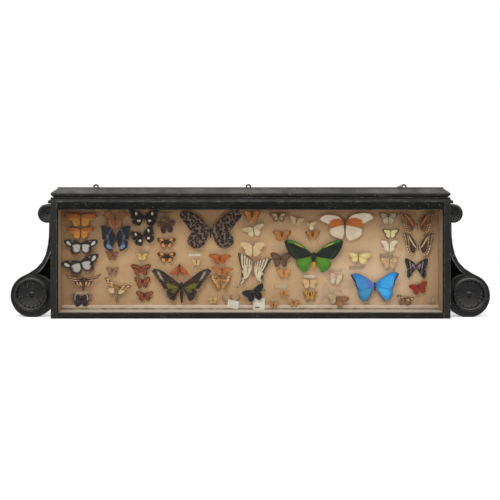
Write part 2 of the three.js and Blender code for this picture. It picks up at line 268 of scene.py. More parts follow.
def ebonyFinish(name, wear=0.0, worn="#5d5b58", bare="#9c958a", marks=(), topDustAndLight=0.46, gloss=0.24):
    f = Finish(name, Specular_IOR_Level=gloss)
    p = f.place()
    cloud = f.noise(p, 11, 5, 0.6)
    grain = f.noise(f.place((6, 160, 160)), 1.0, 4, 0.6)
    body = f.mix(cloud.over(0.5, 0.25), shade(ebony["dark"]), shade(ebony["light"]))
    body = f.mix(grain.over(0.6, 0.1) * 0.3, body, shade("#0a0a0a"))
    specks = f.noise(p, 420, 2, 0.5).over(0.68, 0.03) * f.noise(p, 23, 2).over(0.5, 0.1)
    body = f.mix(specks * 0.7, body, shade(ebony["dust"]))
    scuffs = f.noise(f.place((18, 200, 200), (0, 0.5, 0)), 1.0, 2, 0.6).over(0.72, 0.02)
    body = f.mix(scuffs * f.noise(p, 17, 2).over(0.55, 0.05) * 0.35, body, shade(ebony["dust"]))
    # Paler on faces that look up: dust settled there, and also painted light where slopes catch the lamp
    up = f.axes(f.add("ShaderNodeNewGeometry", out=1))[2]
    dustAndToplight = up.over(0.45, 0.4) * topDustAndLight * (0.24 + f.noise(p, 16, 7, 0.78).over(0.5, 0.3))
    body = f.mix(dustAndToplight, body, shade(ebony["dust"]))
    x, z = f.axes(p)[::2]
    for centre, height, radius, tint in marks:  # a chip or a nail head
        ragged = f.noise(p, 500, 2) * 0.6
        across, rise = (x - centre * mm) / (radius * mm), (z - height * mm) / (radius * mm)
        away = (across**2 + rise**2) ** 0.5
        body = f.mix((away + ragged).under(1.5, 0.1), body, shade("#060505"))
        body = f.mix((away + ragged).under(1.1, 0.15), body, shade(tint))
    if wear:
        patchy = f.noise(f.place((1, 3, 3)), 60, 5, 0.7)
        body = f.mix(patchy.over(1 - wear, 0.1) * 0.7, body, shade(worn))
        body = f.mix(patchy.over(1.12 - wear, 0.05) * 0.8, body, shade(bare))
    f.feed("Base Color", body)
    f.feed("Roughness", 0.42 + cloud * 0.3)
    f.bump(cloud * 0.4 + grain * 0.6, 0.12, 0.0004)
    return f.mat


wood = ebonyFinish("ebonised wood")
wornWood = ebonyFinish("ebonised wood, rubbed edge", wear=0.5)
brownWorn = ebonyFinish("ebonised wood, worn to the brown", wear=0.52, worn="#3d3733", bare="#6c6259")
# The inner lip of the console band: rubbed, and paler also as a painted highlight
beadHighlightWood = ebonyFinish("ebonised wood, rubbed bead", wear=0.62, worn="#4c4b49", bare="#6d6a66")


# The recess behind the console band: near-black, a painted shade
def recessShadeFinish():
    f = Finish("unwiped recess", rough=0.85, Specular_IOR_Level=0.1)
    cloud = f.noise(f.place(), 40, 4, 0.6)
    f.feed("Base Color", f.mix(cloud.over(0.5, 0.2), shade(ebony["recessShade"]), shade("#0b0a0a")))
    return f.mat


recessShade = recessShadeFinish()


def pick(piece, test):  # faces chosen by their middle and normal, in edit mode
    bpy.ops.mesh.select_mode(type="FACE")
    bpy.ops.mesh.select_all(action="DESELECT")
    bpy.ops.object.mode_set(mode="OBJECT")
    for polygon in piece.data.polygons:
        polygon.select = test(polygon.center, polygon.normal)
    bpy.ops.object.mode_set(mode="EDIT")


def easeEdges(width, sharp):  # the eased strip takes the rubbed finish
    bpy.ops.mesh.select_all(action="DESELECT")
    bpy.ops.mesh.select_mode(type="EDGE")
    bpy.ops.mesh.edges_select_sharp(sharpness=math.radians(sharp))
    bpy.ops.mesh.bevel(
        offset=width, segments=2, profile=0.6, affect="EDGES", clamp_overlap=True, material=1
    )


# A copy of a plain part with its sharp edges eased, and a sunk field on its raised face if it has one
def eased(node, width, body=wood, sharp=34, field=None):
    piece = twin(bpy.data.objects[node], node + "_eased")
    piece.hide_render = piece.hide_viewport = False
    piece.data.materials.clear()
    piece.data.materials.append(body)
    piece.data.materials.append(wornWood)
    only(piece)
    bpy.ops.object.mode_set(mode="EDIT")
    bpy.ops.mesh.select_all(action="SELECT")
    bpy.ops.mesh.remove_doubles(threshold=0.00002)
    bpy.ops.mesh.dissolve_limited(angle_limit=math.radians(0.6))
    if field:
        level = depthAt(field["depth"])
        pick(piece, lambda middle, normal: normal.y < -0.99 and abs(middle.y - level) < 0.0004)
        bpy.ops.mesh.inset(thickness=field["lip"] * mm, use_boundary=True)
        bpy.ops.transform.translate(value=(0, field["sink"] * mm, 0))
    easeEdges(width, sharp)
    bpy.ops.object.mode_set(mode="OBJECT")
    smooth(40)
    return finished(piece, "ebonised_wood", node)


# Marks of the plain boards: X, height and radius in millimetres, and tint
nail = (14.9, 7.2, 2.2, "#5d4030")
chip = (0.4, 301, 2.6, "#7a5a44")
nailedWood = ebonyFinish("ebonised wood, rusted nail", marks=[nail], topDustAndLight=0.2, gloss=0.17)
chippedWood = ebonyFinish("ebonised wood, chipped", marks=[chip])
# The top rail: less sheen than the rest, standing in for the shade under the cornice
railShadeWood = ebonyFinish("ebonised wood, under the cornice", gloss=0.08)
coveWood = ebonyFinish("ebonised wood, cove", topDustAndLight=0.16, gloss=0.14)
boards = dict(  # how far the edges are eased, and the finish
    frame_stile_left=(0.0007, wood),
    frame_stile_right=(0.0007, wood),
    frame_rail_top=(0.0007, railShadeWood),
    frame_rail_bottom=(0.0007, nailedWood),
    upper_moulding=(0.0005, coveWood),
    cornice=(0.0005, chippedWood),
)
for node, (easing, finish) in boards.items():
    eased(node, easing, finish)
print("frame and cornice eased")

# Lining paper and the pale strips around it; wall, floor and ceiling are where the paper of the
# boards begins, from the middle and from the ground
lining = dict(
    paper="#ad8a62", light="#be9d74", faded="#cbb195", brown="#765233", stain="#5f422b",
    wall=0.46352, floor=0.01428, ceiling=0.26402,
)


def liningFinish(name, tone=lining["paper"], light=lining["light"], stainsAndShade=1.0, darkLine=None):
    f = Finish(name, rough=0.9)
    p = f.place()
    x, z = f.axes(p)[::2]
    cloud = f.noise(p, 5, 5, 0.6)
    fine = f.noise(p, 60, 4, 0.6)
    body = f.mix(cloud.over(0.5, 0.2), shade(tone), shade(light))
    body = f.mix(fine.over(0.62, 0.12) * 0.22, body, shade(lining["brown"]))
    # A paler patch low on the right
    faded = abs(x - 0.29).under(0.12, 0.14) * z.under(0.18, 0.08) * (0.2 + cloud * 0.6) * stainsAndShade
    body = f.mix(faded, body, shade(lining["faded"]))
    # Browner near the top and the sides: painted shade cast by the frame, with stains along the left
    left = x.under(-0.36, 0.14) * 0.6 * stainsAndShade * (0.4 + cloud * 0.8)
    right = x.over(0.44, 0.04) * 0.5 * stainsAndShade
    top = (z + cloud * 0.05).over(0.265, 0.045) * 0.7 * stainsAndShade
    for edgeShade in (top, left, right):
        body = f.mix(edgeShade, body, shade(lining["brown"]))
    blot = f.noise(p, 9, 3, 0.7).over(0.66, 0.06) * 0.25 * stainsAndShade
    dots = f.cells(p, 75).under(0.075, 0.03) * f.noise(p, 12, 2).over(0.56, 0.05) * 0.6 * stainsAndShade
    for spotted in (blot, dots):
        body = f.mix(spotted, body, shade(lining["stain"]))
    if darkLine:  # a darker line along a height, in millimetres
        lineMask = abs(z - darkLine[0] * mm).under(darkLine[1] * mm, 0.0006) * (0.35 + fine.over(0.45, 0.2) * 0.5)
        body = f.mix(lineMask, body, shade("#6b5644"))
    f.feed("Base Color", body)
    f.bump(fine, 0.25, 0.0004)
    return f


# A black board whose inner face is papered: along an axis, past the limit in the sense given
def linedFinish(name, axis, limit, sense, tone):
    f = liningFinish(name, tone, tone, 0.3)
    paper = f.shader.inputs["Base Color"].links[0].from_socket
    p = f.place()
    along = f.axes(p)[axis]
    mask = along.over(limit, 0.0001) if sense > 0 else along.under(limit, 0.0001)
    cloud = f.noise(p, 11, 5, 0.6)
    black = f.mix(cloud, shade(ebony["dark"]), shade(ebony["light"]))
    f.feed("Base Color", f.mix(mask, black, Signal(f.tree, paper)))
    return f.mat


def cover(node, mat):
    bpy.data.objects[node].material_slots[0].material = mat


cover("backing_panel", liningFinish("lining paper").mat)
cover("lining_fillet", liningFinish("fillet paper", "#c3b09a", "#d0c0aa", 0.5, darkLine=(17.5, 2.2)).mat)
cover("case_side_left", linedFinish("left wall", 0, -lining["wall"], 1, "#c7a47c"))
cover("case_side_right", linedFinish("right wall", 0, lining["wall"], -1, "#c7a681"))
cover("case_bottom", linedFinish("floor strip", 2, lining["floor"], 1, "#f0e2cc"))
cover("case_top", linedFinish("ceiling strip", 2, lining["ceiling"], -1, "#8f7458"))


def backFinish():
    f = Finish("bare back board", rough=0.85)
    rings = f.noise(f.place((4, 90, 90)), 1.2, 5, 0.65)
    body = f.mix(rings.over(0.5, 0.2), shade("#6d5238"), shade("#8d6e4e"))
    dirt = f.noise(f.place(), 6, 4, 0.6).over(0.55, 0.15) * 0.5
    f.feed("Base Color", f.mix(dirt, body, shade("#3b2d21")))
    f.bump(rings, 0.3, 0.0006)
    return f.mat


cover("back_board", backFinish())
pane = Finish("window glass", rough=0.03, Alpha=0.04, IOR=1.5, Base_Color=(0.02, 0.025, 0.022, 1))
smears = pane.noise(pane.place((1, 1, 3)), 9, 4, 0.6)
pane.feed("Roughness", 0.02 + smears * 0.1)
cover("glass_pane", pane.mat)
print("lining and pane dressed")

# Wings. Outlines are in half spans: leading edge from the root to the tip, then the outer margin,
# then the inner edge back to the root. Out from the body first, up second. Scallops are how many
# notches the margin has, and how deep they are
shapes = dict(
    greenBirdwing=dict(
        fore=(
            [(0.04, 0.02), (0.318, 0.27), (0.49, 0.39), (0.74, 0.49), (0.9, 0.51), (1, 0.44)],
            [(0.92, 0.21), (0.8, 0.01), (0.68, -0.125)],
            [(0.57, -0.17), (0.27, -0.125), (0.04, -0.05)],
        ),
        hind=(
            [(0.04, -0.03), (0.3, -0.1), (0.54, -0.19)],
            [(0.585, -0.31), (0.53, -0.42), (0.43, -0.53)],
            [(0.32, -0.595), (0.235, -0.58), (0.185, -0.48), (0.12, -0.28), (0.04, -0.08)],
        ),
    ),
    blackBirdwing=dict(
        fore=(
            [(0.05, 0.03), (0.28, 0.195), (0.52, 0.39), (0.71, 0.5), (0.89, 0.55), (0.98, 0.5)],
            [(0.965, 0.414), (0.79, 0.17), (0.61, -0.1)],
            [(0.55, -0.135), (0.3, -0.14), (0.05, -0.1)],
        ),
        hind=(
            [(0.05, -0.1), (0.3, -0.13), (0.525, -0.19)],
            [(0.54, -0.32), (0.46, -0.45)],
            [(0.33, -0.54), (0.243, -0.54), (0.157, -0.33), (0.06, -0.16)],
        ),
        scallops=(6, 0.05),
    ),
    nymph=dict(
        fore=(
            [(0.04, 0.06), (0.14, 0.2), (0.33, 0.4), (0.55, 0.545), (0.75, 0.625), (0.92, 0.645)],
            [(1, 0.515), (0.965, 0.4), (0.83, 0.25), (0.71, 0.08)],
            [(0.6, -0.01), (0.3, -0.05), (0.04, -0.04)],
        ),
        hind=(
            [(0.04, -0.02), (0.3, -0.01), (0.6, -0.04)],
            [(0.74, -0.23), (0.74, -0.38), (0.63, -0.49), (0.49, -0.54)],
            [(0.34, -0.52), (0.21, -0.42), (0.13, -0.28), (0.05, -0.1)],
        ),
        scallops=(7, 0.02),
    ),
    roundWing=dict(
        fore=(
            [(0.03, 0.07), (0.26, 0.31), (0.48, 0.37), (0.68, 0.396), (0.86, 0.357)],
            [(1, 0.243), (0.975, 0.154), (0.745, 0.04), (0.67, -0.114)],
            [(0.57, -0.13), (0.3, -0.1), (0.03, -0.04)],
        ),
        hind=(
            [(0.03, -0.05), (0.3, -0.1), (0.59, -0.18)],
            [(0.607, -0.318), (0.553, -0.43), (0.39, -0.536)],
            [(0.186, -0.61), (0.096, -0.57), (0.03, -0.34), (0.03, -0.12)],
        ),
    ),
    morpho=dict(
        fore=(
            [(0.04, 0.05), (0.32, 0.256), (0.53, 0.384), (0.73, 0.456), (0.88, 0.45), (1, 0.4)],
            [(0.92, 0.256), (0.82, 0.1), (0.79, -0.03)],
            [(0.7, -0.19), (0.4, -0.17), (0.04, -0.08)],
        ),
        hind=(
            [(0.04, -0.06), (0.4, -0.12), (0.7, -0.18)],
            [(0.7, -0.3), (0.68, -0.45), (0.58, -0.58), (0.46, -0.65)],
            [(0.33, -0.64), (0.2, -0.46), (0.1, -0.25), (0.04, -0.1)],
        ),
        scallops=(6, 0.02),
    ),
    longWing=dict(
        fore=(
            [(0.03, 0.1), (0.2, 0.17), (0.45, 0.22), (0.8, 0.2), (0.95, 0.16)],
            [(1, 0.08), (0.9, -0.03), (0.76, -0.1)],
            [(0.62, -0.18), (0.3, -0.16), (0.03, -0.06)],
        ),
        hind=(
            [(0.03, -0.05), (0.3, -0.12), (0.53, -0.2)],
            [(0.52, -0.36), (0.44, -0.5), (0.32, -0.57)],
            [(0.2, -0.57), (0.09, -0.46), (0.03, -0.28), (0.03, -0.12)],
        ),
    ),
    broadWing=dict(
        fore=(
            [(0.03, 0.03), (0.19, 0.13), (0.61, 0.23), (0.85, 0.235), (0.96, 0.2)],
            [(1, 0.13), (0.92, -0.03), (0.75, -0.17)],
            [(0.58, -0.27), (0.3, -0.2), (0.03, -0.08)],
        ),
        hind=(
            [(0.03, -0.06), (0.3, -0.16), (0.6, -0.24)],
            [(0.63, -0.42), (0.56, -0.58), (0.42, -0.67)],
            [(0.26, -0.66), (0.1, -0.54), (0.04, -0.38), (0.03, -0.12)],
        ),
        scallops=(5, 0.03),
    ),
    emperorWing=dict(
        fore=(
            [(0.04, 0.08), (0.13, 0.27), (0.35, 0.53), (0.65, 0.65), (0.85, 0.68), (1, 0.66)],
            [(0.95, 0.45), (0.92, 0.2), (0.9, 0)],
            [(0.86, -0.18), (0.5, -0.18), (0.04, -0.06)],
        ),
        hind=(
            [(0.04, -0.06), (0.4, -0.16), (0.78, -0.25)],
            [(0.8, -0.56), (0.58, -0.81)],
            [(0.3, -0.92), (0.2, -0.7), (0.1, -0.38), (0.04, -0.15)],
        ),
    ),
    swordtail=dict(
        fore=(
            [(0.1, 0.04), (0.2, 0.25), (0.46, 0.52), (0.74, 0.66), (1, 0.72)],
            [(0.9, 0.46), (0.82, 0.22)],
            [(0.76, 0.04), (0.45, -0.06), (0.12, -0.1)],
        ),
        hind=(
            [(0.14, -0.04), (0.45, -0.04), (0.78, 0.08)],
            [(0.76, -0.1), (0.66, -0.34), (0.52, -0.46)],
            [(0.34, -0.5), (0.22, -0.3), (0.14, -0.12)],
        ),
        scallops=(5, 0.05),
    ),
    jay=dict(
        fore=(
            [(0.04, 0.08), (0.35, 0.38), (0.7, 0.58), (0.93, 0.63)],
            [(0.97, 0.4), (0.85, 0)],
            [(0.78, -0.3), (0.4, -0.2), (0.04, -0.08)],
        ),
        hind=(
            [(0.04, -0.1), (0.4, -0.24), (0.76, -0.34)],
            [(0.8, -0.7), (0.75, -1.05)],
            [(0.6, -1.1), (0.4, -0.85), (0.2, -0.5), (0.04, -0.2)],
        ),
        scallops=(4, 0.04),
    ),
    zebra=dict(
        fore=(
            [(0.04, 0.05), (0.3, 0.22), (0.65, 0.38), (1, 0.44)],
            [(0.88, 0.12), (0.74, -0.2)],
            [(0.62, -0.42), (0.3, -0.28), (0.04, -0.1)],
        ),
        hind=(
            [(0.04, -0.1), (0.3, -0.22), (0.64, -0.36)],
            [(0.64, -0.7), (0.58, -0.95), (0.66, -1.2), (0.82, -1.5), (0.78, -1.52), (0.58, -1.24)],
            [(0.46, -1.04), (0.25, -0.82), (0.1, -0.5), (0.04, -0.2)],
        ),
    ),
    hawk=dict(
        fore=(
            [(0.04, 0.06), (0.4, 0.1), (0.75, 0.18), (1, 0.29)],
            [(0.94, 0.16), (0.82, 0.05)],
            [(0.6, -0.1), (0.35, -0.17), (0.04, -0.14)],
        ),
        hind=(
            [(0.04, -0.1), (0.3, -0.14), (0.54, -0.12)],
            [(0.46, -0.25), (0.34, -0.36)],
            [(0.22, -0.4), (0.12, -0.38), (0.04, -0.26)],
        ),
    ),
    sphinx=dict(
        fore=(
            [(0.05, 0.08), (0.4, 0.14), (0.78, 0.22), (0.96, 0.2)],
            [(1, 0.12), (0.86, 0)],
            [(0.6, -0.12), (0.3, -0.14), (0.04, -0.12)],
        ),
        hind=(
            [(0.05, -0.06), (0.3, -0.1), (0.52, -0.12)],
            [(0.56, -0.28), (0.4, -0.42)],
            [(0.24, -0.44), (0.12, -0.4), (0.05, -0.22)],
        ),
    ),
    resting=dict(
        fore=(
            [(0.03, 0.3), (0.45, 0), (0.95, -0.72)],
            [(0.8, -0.86), (0.55, -0.76)],
            [(0.35, -0.6), (0.15, -0.3), (0.03, -0.1)],
        ),
        hind=(
            [(0.03, -0.05), (0.2, -0.3), (0.45, -0.6)],
            [(0.42, -0.85), (0.25, -0.92)],
            [(0.12, -0.75), (0.05, -0.5), (0.03, -0.2)],
        ),
    ),
)


def smoothLine(points, share):  # the point at a share of the way along a smooth line through the points
    steps = [math.dist(a, b) for a, b in zip(points, points[1:])]
    rest = share * sum(steps)
    i = 0
    while i < len(steps) - 1 and rest > steps[i]:
        rest -= steps[i]
        i += 1
    f = min(rest / steps[i], 1)
    a, b = points[max(i - 1, 0)], points[i]
    c, d = points[i + 1], points[min(i + 2, len(points) - 1)]
    return tuple(
        0.5 * (2 * q + (r - p) * f + (2 * p - 5 * q + 4 * r - s) * f**2 + (3 * q - p - 3 * r + s) * f**3)
        for p, q, r, s in zip(a, b, c, d)
    )


def between(a, b, share):
    return tuple(p + (q - p) * share for p, q in zip(a, b))


def wingPoint(outline, along, across, scallops):
    costa, margin, inner = outline
    rim = smoothLine([costa[-1], *margin, inner[0]], 1 - across)
    count, cut = scallops
    trim = 1 - cut * (0.5 + 0.5 * math.cos(2 * math.pi * count * across)) * along**8
    top = smoothLine(costa, along)
    low = smoothLine(inner[::-1], along)
    root = between(inner[-1], costa[0], across)
    corner = between(between(inner[-1], inner[0], along), between(costa[0], costa[-1], along), across)
    return tuple(
        (l + (t - l) * across + r + (m - r) * along - c) * trim
        for t, l, r, m, c in zip(top, low, root, rim, corner)
    )


# Marks on a wing, in the wing's own terms: s runs from the root to the outer margin,
# t from the inner edge to the leading edge
def markMask(f, s, t, ragged, kind, *a):
    if kind == "edge":
        return (s + ragged * 0.05).over(1 - a[0], 0.02)
    if kind == "costa":
        return (t + ragged * 0.05).over(1 - a[0], 0.03)
    if kind == "inner":
        return (t + ragged * 0.05).under(a[0], 0.03)
    if kind == "root":
        return (s + ragged * 0.08).under(a[0], a[0] * 0.35)
    if kind == "tip":
        return (s * 0.7 + t * 0.3 + ragged * 0.05).over(1 - a[0], 0.03)
    if kind == "foot":
        return (s * 0.7 - t * 0.3 + 0.3 + ragged * 0.05).over(1 - a[0], 0.03)
    if kind == "spot":
        away = (((s - a[0]) / a[2]) ** 2 + ((t - a[1]) / a[3]) ** 2) ** 0.5
        return (away + ragged * 0.35).under(1, 0.14)
    if kind == "band":
        lean = s + (t - 0.5) * a[2] + ragged * 0.06
        return lean.over(a[0], 0.02) * lean.under(a[1], 0.02)
    if kind == "row":
        away = (((s - a[0]) / a[2]) ** 2 + (((t * a[1]).fract() - 0.5) / a[3]) ** 2) ** 0.5
        return away.under(1, 0.25)
    if kind == "rays":
        return abs((t * a[0]).fract() - 0.5).under(a[1] / 2, a[1] * 0.3)
    if kind == "bars":
        stripe = abs((s * a[0] + t * 0.6 + ragged * 0.3).fract() - 0.5).under(a[1] / 2, 0.06)
        return stripe * (t + ragged * 0.2).over(a[2], 0.06) * t.under(a[3], 0.06)
    if kind == "streak":
        away = abs(t - s * a[1] + ragged * 0.1)
        return abs(away - a[0]).under(a[2], 0.05) * (s + ragged * 0.1).under(a[3], 0.04)
    if kind == "dapple":  # cells as large as the first size, in millimetres
        x, z = f.axes(f.place())[::2]
        flat = f.add("ShaderNodeCombineXYZ", None, {"X": x / (a[0] * mm), "Y": z / (a[0] * mm)})
        values = {"Vector": flat, "Scale": 1.0, "Randomness": a[2]}
        spot = f.add("ShaderNodeTexVoronoi", {"voronoi_dimensions": "2D"}, values)
        return (spot + ragged * 0.12).under(a[1], 0.05)
    return f.noise(f.place(), a[0], 4, 0.7).over(a[1], 0.05)  # blotch


# How wings are made and set. Sheet and depths in metres; the face of the lining, and the half span
# under which a coarse mesh does, in millimetres. Each pair takes a share of the specimen's own turns
spread = dict(
    veins=7, ripple=0.0035, lift=0.05, sheet=0.0002,
    fore=dict(depth=0.0002, share=1), hind=dict(depth=0.0011, share=0.35),
    lining=65, small=32, coarse=(9, 15), fine=(14, 29),
)
madeWings = {}


def wingFinish(name, ground, marks, rough=0.8, gloss=0.0):
    if name in madeWings:
        return madeWings[name]
    f = Finish(name, rough=rough, Specular_IOR_Level=0.25)
    s, t = f.axes(f.add("ShaderNodeTexCoord", out="UV"))[:2]
    p = f.place()
    ragged = f.noise(p, 260, 3, 0.6) - 0.5
    soft = f.noise(p, 70, 3, 0.6)
    colour = f.mix(soft.under(0.5, 0.2) * 0.6, shade(ground), dimmed(ground, 0.72))
    veins = abs((t * spread["veins"]).fract() - 0.5).under(0.05, 0.035) * s.over(0.12, 0.1)
    colour = f.mix(veins * 0.5, colour, dimmed(ground, 0.4))
    for tint, strength, kind, *sizes in marks:
        colour = f.mix(markMask(f, s, t, ragged, kind, *sizes) * strength, colour, shade(tint))
    f.feed("Base Color", colour)
    f.bump(ragged * 0.5 + veins, 0.35, 0.0002)
    if gloss:
        f.feed("Metallic", soft * gloss)
    madeWings[name] = f.mat
    return f.mat


# Furry body, feelers and pin
def bodyFinish(name, ground, rings):
    f = Finish(name, rough=0.85, Specular_IOR_Level=0.25)
    p = f.place()
    fur = f.noise(p, 900, 3, 0.7)
    bars = (f.axes(p)[2] * 620).fract().over(0.6, 0.15) * rings
    body = f.mix(fur, shade(ground), dimmed(ground, 0.35))
    f.feed("Base Color", f.mix(bars, body, shade("#1d1714")))
    f.bump(fur, 0.6, 0.0004)
    return f.mat


furs = dict(  # colour, and how strongly the body is ringed
    dark=("#3a2e26", 0.3), brown=("#66462f", 0.35), pale=("#9a7f5a", 0.2), yellow=("#d9a62c", 0.12),
)
bodies = {name: bodyFinish(name + " body", *look) for name, look in furs.items()}
feeler = dict(thin=0.00012, thick=0.00022)
pin = dict(front=-0.0075, wire=0.0002, head=0.0006)
pinMetal = Finish("blackened pin", rough=0.4, Metallic=0.8, Base_Color=(0.05, 0.045, 0.04, 1)).mat

# From the tail to the head: along the body, and its half width, both as shares
bodyOutline = [
    (-1, 0), (-0.95, 0.32), (-0.55, 0.68), (-0.05, 0.76), (0.2, 0.6), (0.28, 0.78), (0.5, 1), (0.7, 0.88),
    (0.78, 0.5), (0.86, 0.6), (0.95, 0.48), (1, 0),
]


# One wing, bent along its veins and lifted towards the tip
def addWing(end, side, spec, finish):
    shape, pair = shapes[spec["shape"]], spread[end]
    cells = spread["coarse" if spec["half"] < spread["small"] else "fine"]
    bpy.ops.mesh.primitive_grid_add(x_subdivisions=cells[0], y_subdivisions=cells[1], size=2)
    wing = bpy.context.object
    half, tall, depth = spec["half"] * mm, spec["tall"], pair["depth"]
    angle, size = spec["sides"][0 if side < 0 else 1]
    turn = Matrix.Rotation(math.radians(angle * pair["share"]), 2)
    for v in wing.data.vertices:
        along, across = (v.co.x + 1) / 2, (v.co.y + 1) / 2
        u, w = turn @ Vector(wingPoint(shape[end], along, across, shape.get("scallops", (1, 0))))
        ripple = math.sin(across * math.pi * spread["veins"]) * along * spread["ripple"]
        lift = spread["lift"] * u * u
        v.co = (side * u * half * size, depth - (ripple + lift) * half, w * half * size * tall)
    wing.data.materials.append(finish)
    return wing


def addStick(start, end, thin, thick, finish):
    a, b = Vector(start), Vector(end)
    bpy.ops.mesh.primitive_cone_add(
        vertices=5, radius1=thin, radius2=thick, depth=(b - a).length,
        location=(a + b) / 2, rotation=(b - a).to_track_quat("Z", "Y").to_euler(),
    )
    stick = bpy.context.object
    stick.data.materials.append(finish)
    return stick


def addBody(spec):
    head, tail, width = spec["body"]
    half = spec["half"] * mm
    radius = width * half
    bpy.ops.mesh.primitive_uv_sphere_add(segments=10, ring_count=16, radius=1)
    body = bpy.context.object
    middle, reach = (head - tail) / 2 * half, (head + tail) / 2 * half
    for v in body.data.vertices:
        x, y, z = v.co
        ring = math.hypot(x, y)
        along, wide = smoothLine(bodyOutline, math.acos(max(-1, min(1, -z))) / math.pi)
        scale = wide * radius / ring if ring > 1e-4 else 0
        v.co = (x * scale, y * scale * 0.9, middle + along * reach)
    chest, tailFur = (spec["fur"].split("/") * 2)[:2]
    body.data.materials.append(bodies[chest])
    body.data.materials.append(bodies[tailFur])
    for polygon in body.data.polygons:
        polygon.use_smooth = True
        polygon.material_index = 1 if polygon.center.z < middle - 0.02 * half else 0
    pieces = [body]
    feelers = spec["feelers"]
    for side in (-1, 1) if feelers else ():
        start = (side * radius * 0.3, -radius * 0.2, head * half * 0.92)
        end = (side * feelers[0] * half, -radius, (head + feelers[1]) * half)
        pieces.append(addStick(start, end, feeler["thin"], feeler["thick"], bodies["dark"]))
    back = (spec["off"] - 0.4) * mm
    pieces.append(addStick((0, pin["front"], 0), (0, back, 0), pin["wire"], pin["wire"], pinMetal))
    bpy.ops.mesh.primitive_ico_sphere_add(subdivisions=1, radius=pin["head"], location=(0, pin["front"], 0))
    bpy.context.object.data.materials.append(pinMetal)
    pieces.append(bpy.context.object)
    return pieces


def addSpecimen(spec):
    look = dresses[spec["dress"]]
    wings = []
    for side in (-1, 1):
        for end in ("fore", "hind"):
            marks = look.get(end + "Right", look[end]) if side > 0 else look[end]
            name = f"{spec['dress']} {end} {side if end + 'Right' in look else ''}"
            wings.append(addWing(end, side, spec, wingFinish(name.strip(), *marks)))
    piece = joined(spec["name"] + "_mounted", wings)
    thicken(piece, spread["sheet"])
    faceOut(50)
    piece = joined(piece.name, [piece, *addBody(spec)])
    spin = Matrix.Rotation(math.radians(-spec["turn"]), 4, "Y")
    depth = depthAt(spread["lining"] - spec["off"])
    place = Matrix.Translation((spec["x"] * mm, depth, spec["z"] * mm))
    piece.data.transform(place @ spin)
    nodes = [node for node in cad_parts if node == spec["name"]]
    return finished(piece, "wings_" + spec["slot"], *nodes)


# What each kind wears: ground colour, then marks as tint, strength, kind and sizes
def plain(ground, margin, tip="#5b4334"):
    return dict(
        fore=(ground, [(margin, 0.8, "edge", 0.1), (tip, 0.6, "tip", 0.16), (margin, 0.5, "root", 0.16)]),
        hind=(ground, [(margin, 0.7, "edge", 0.1), (margin, 0.5, "root", 0.2)]),
    )


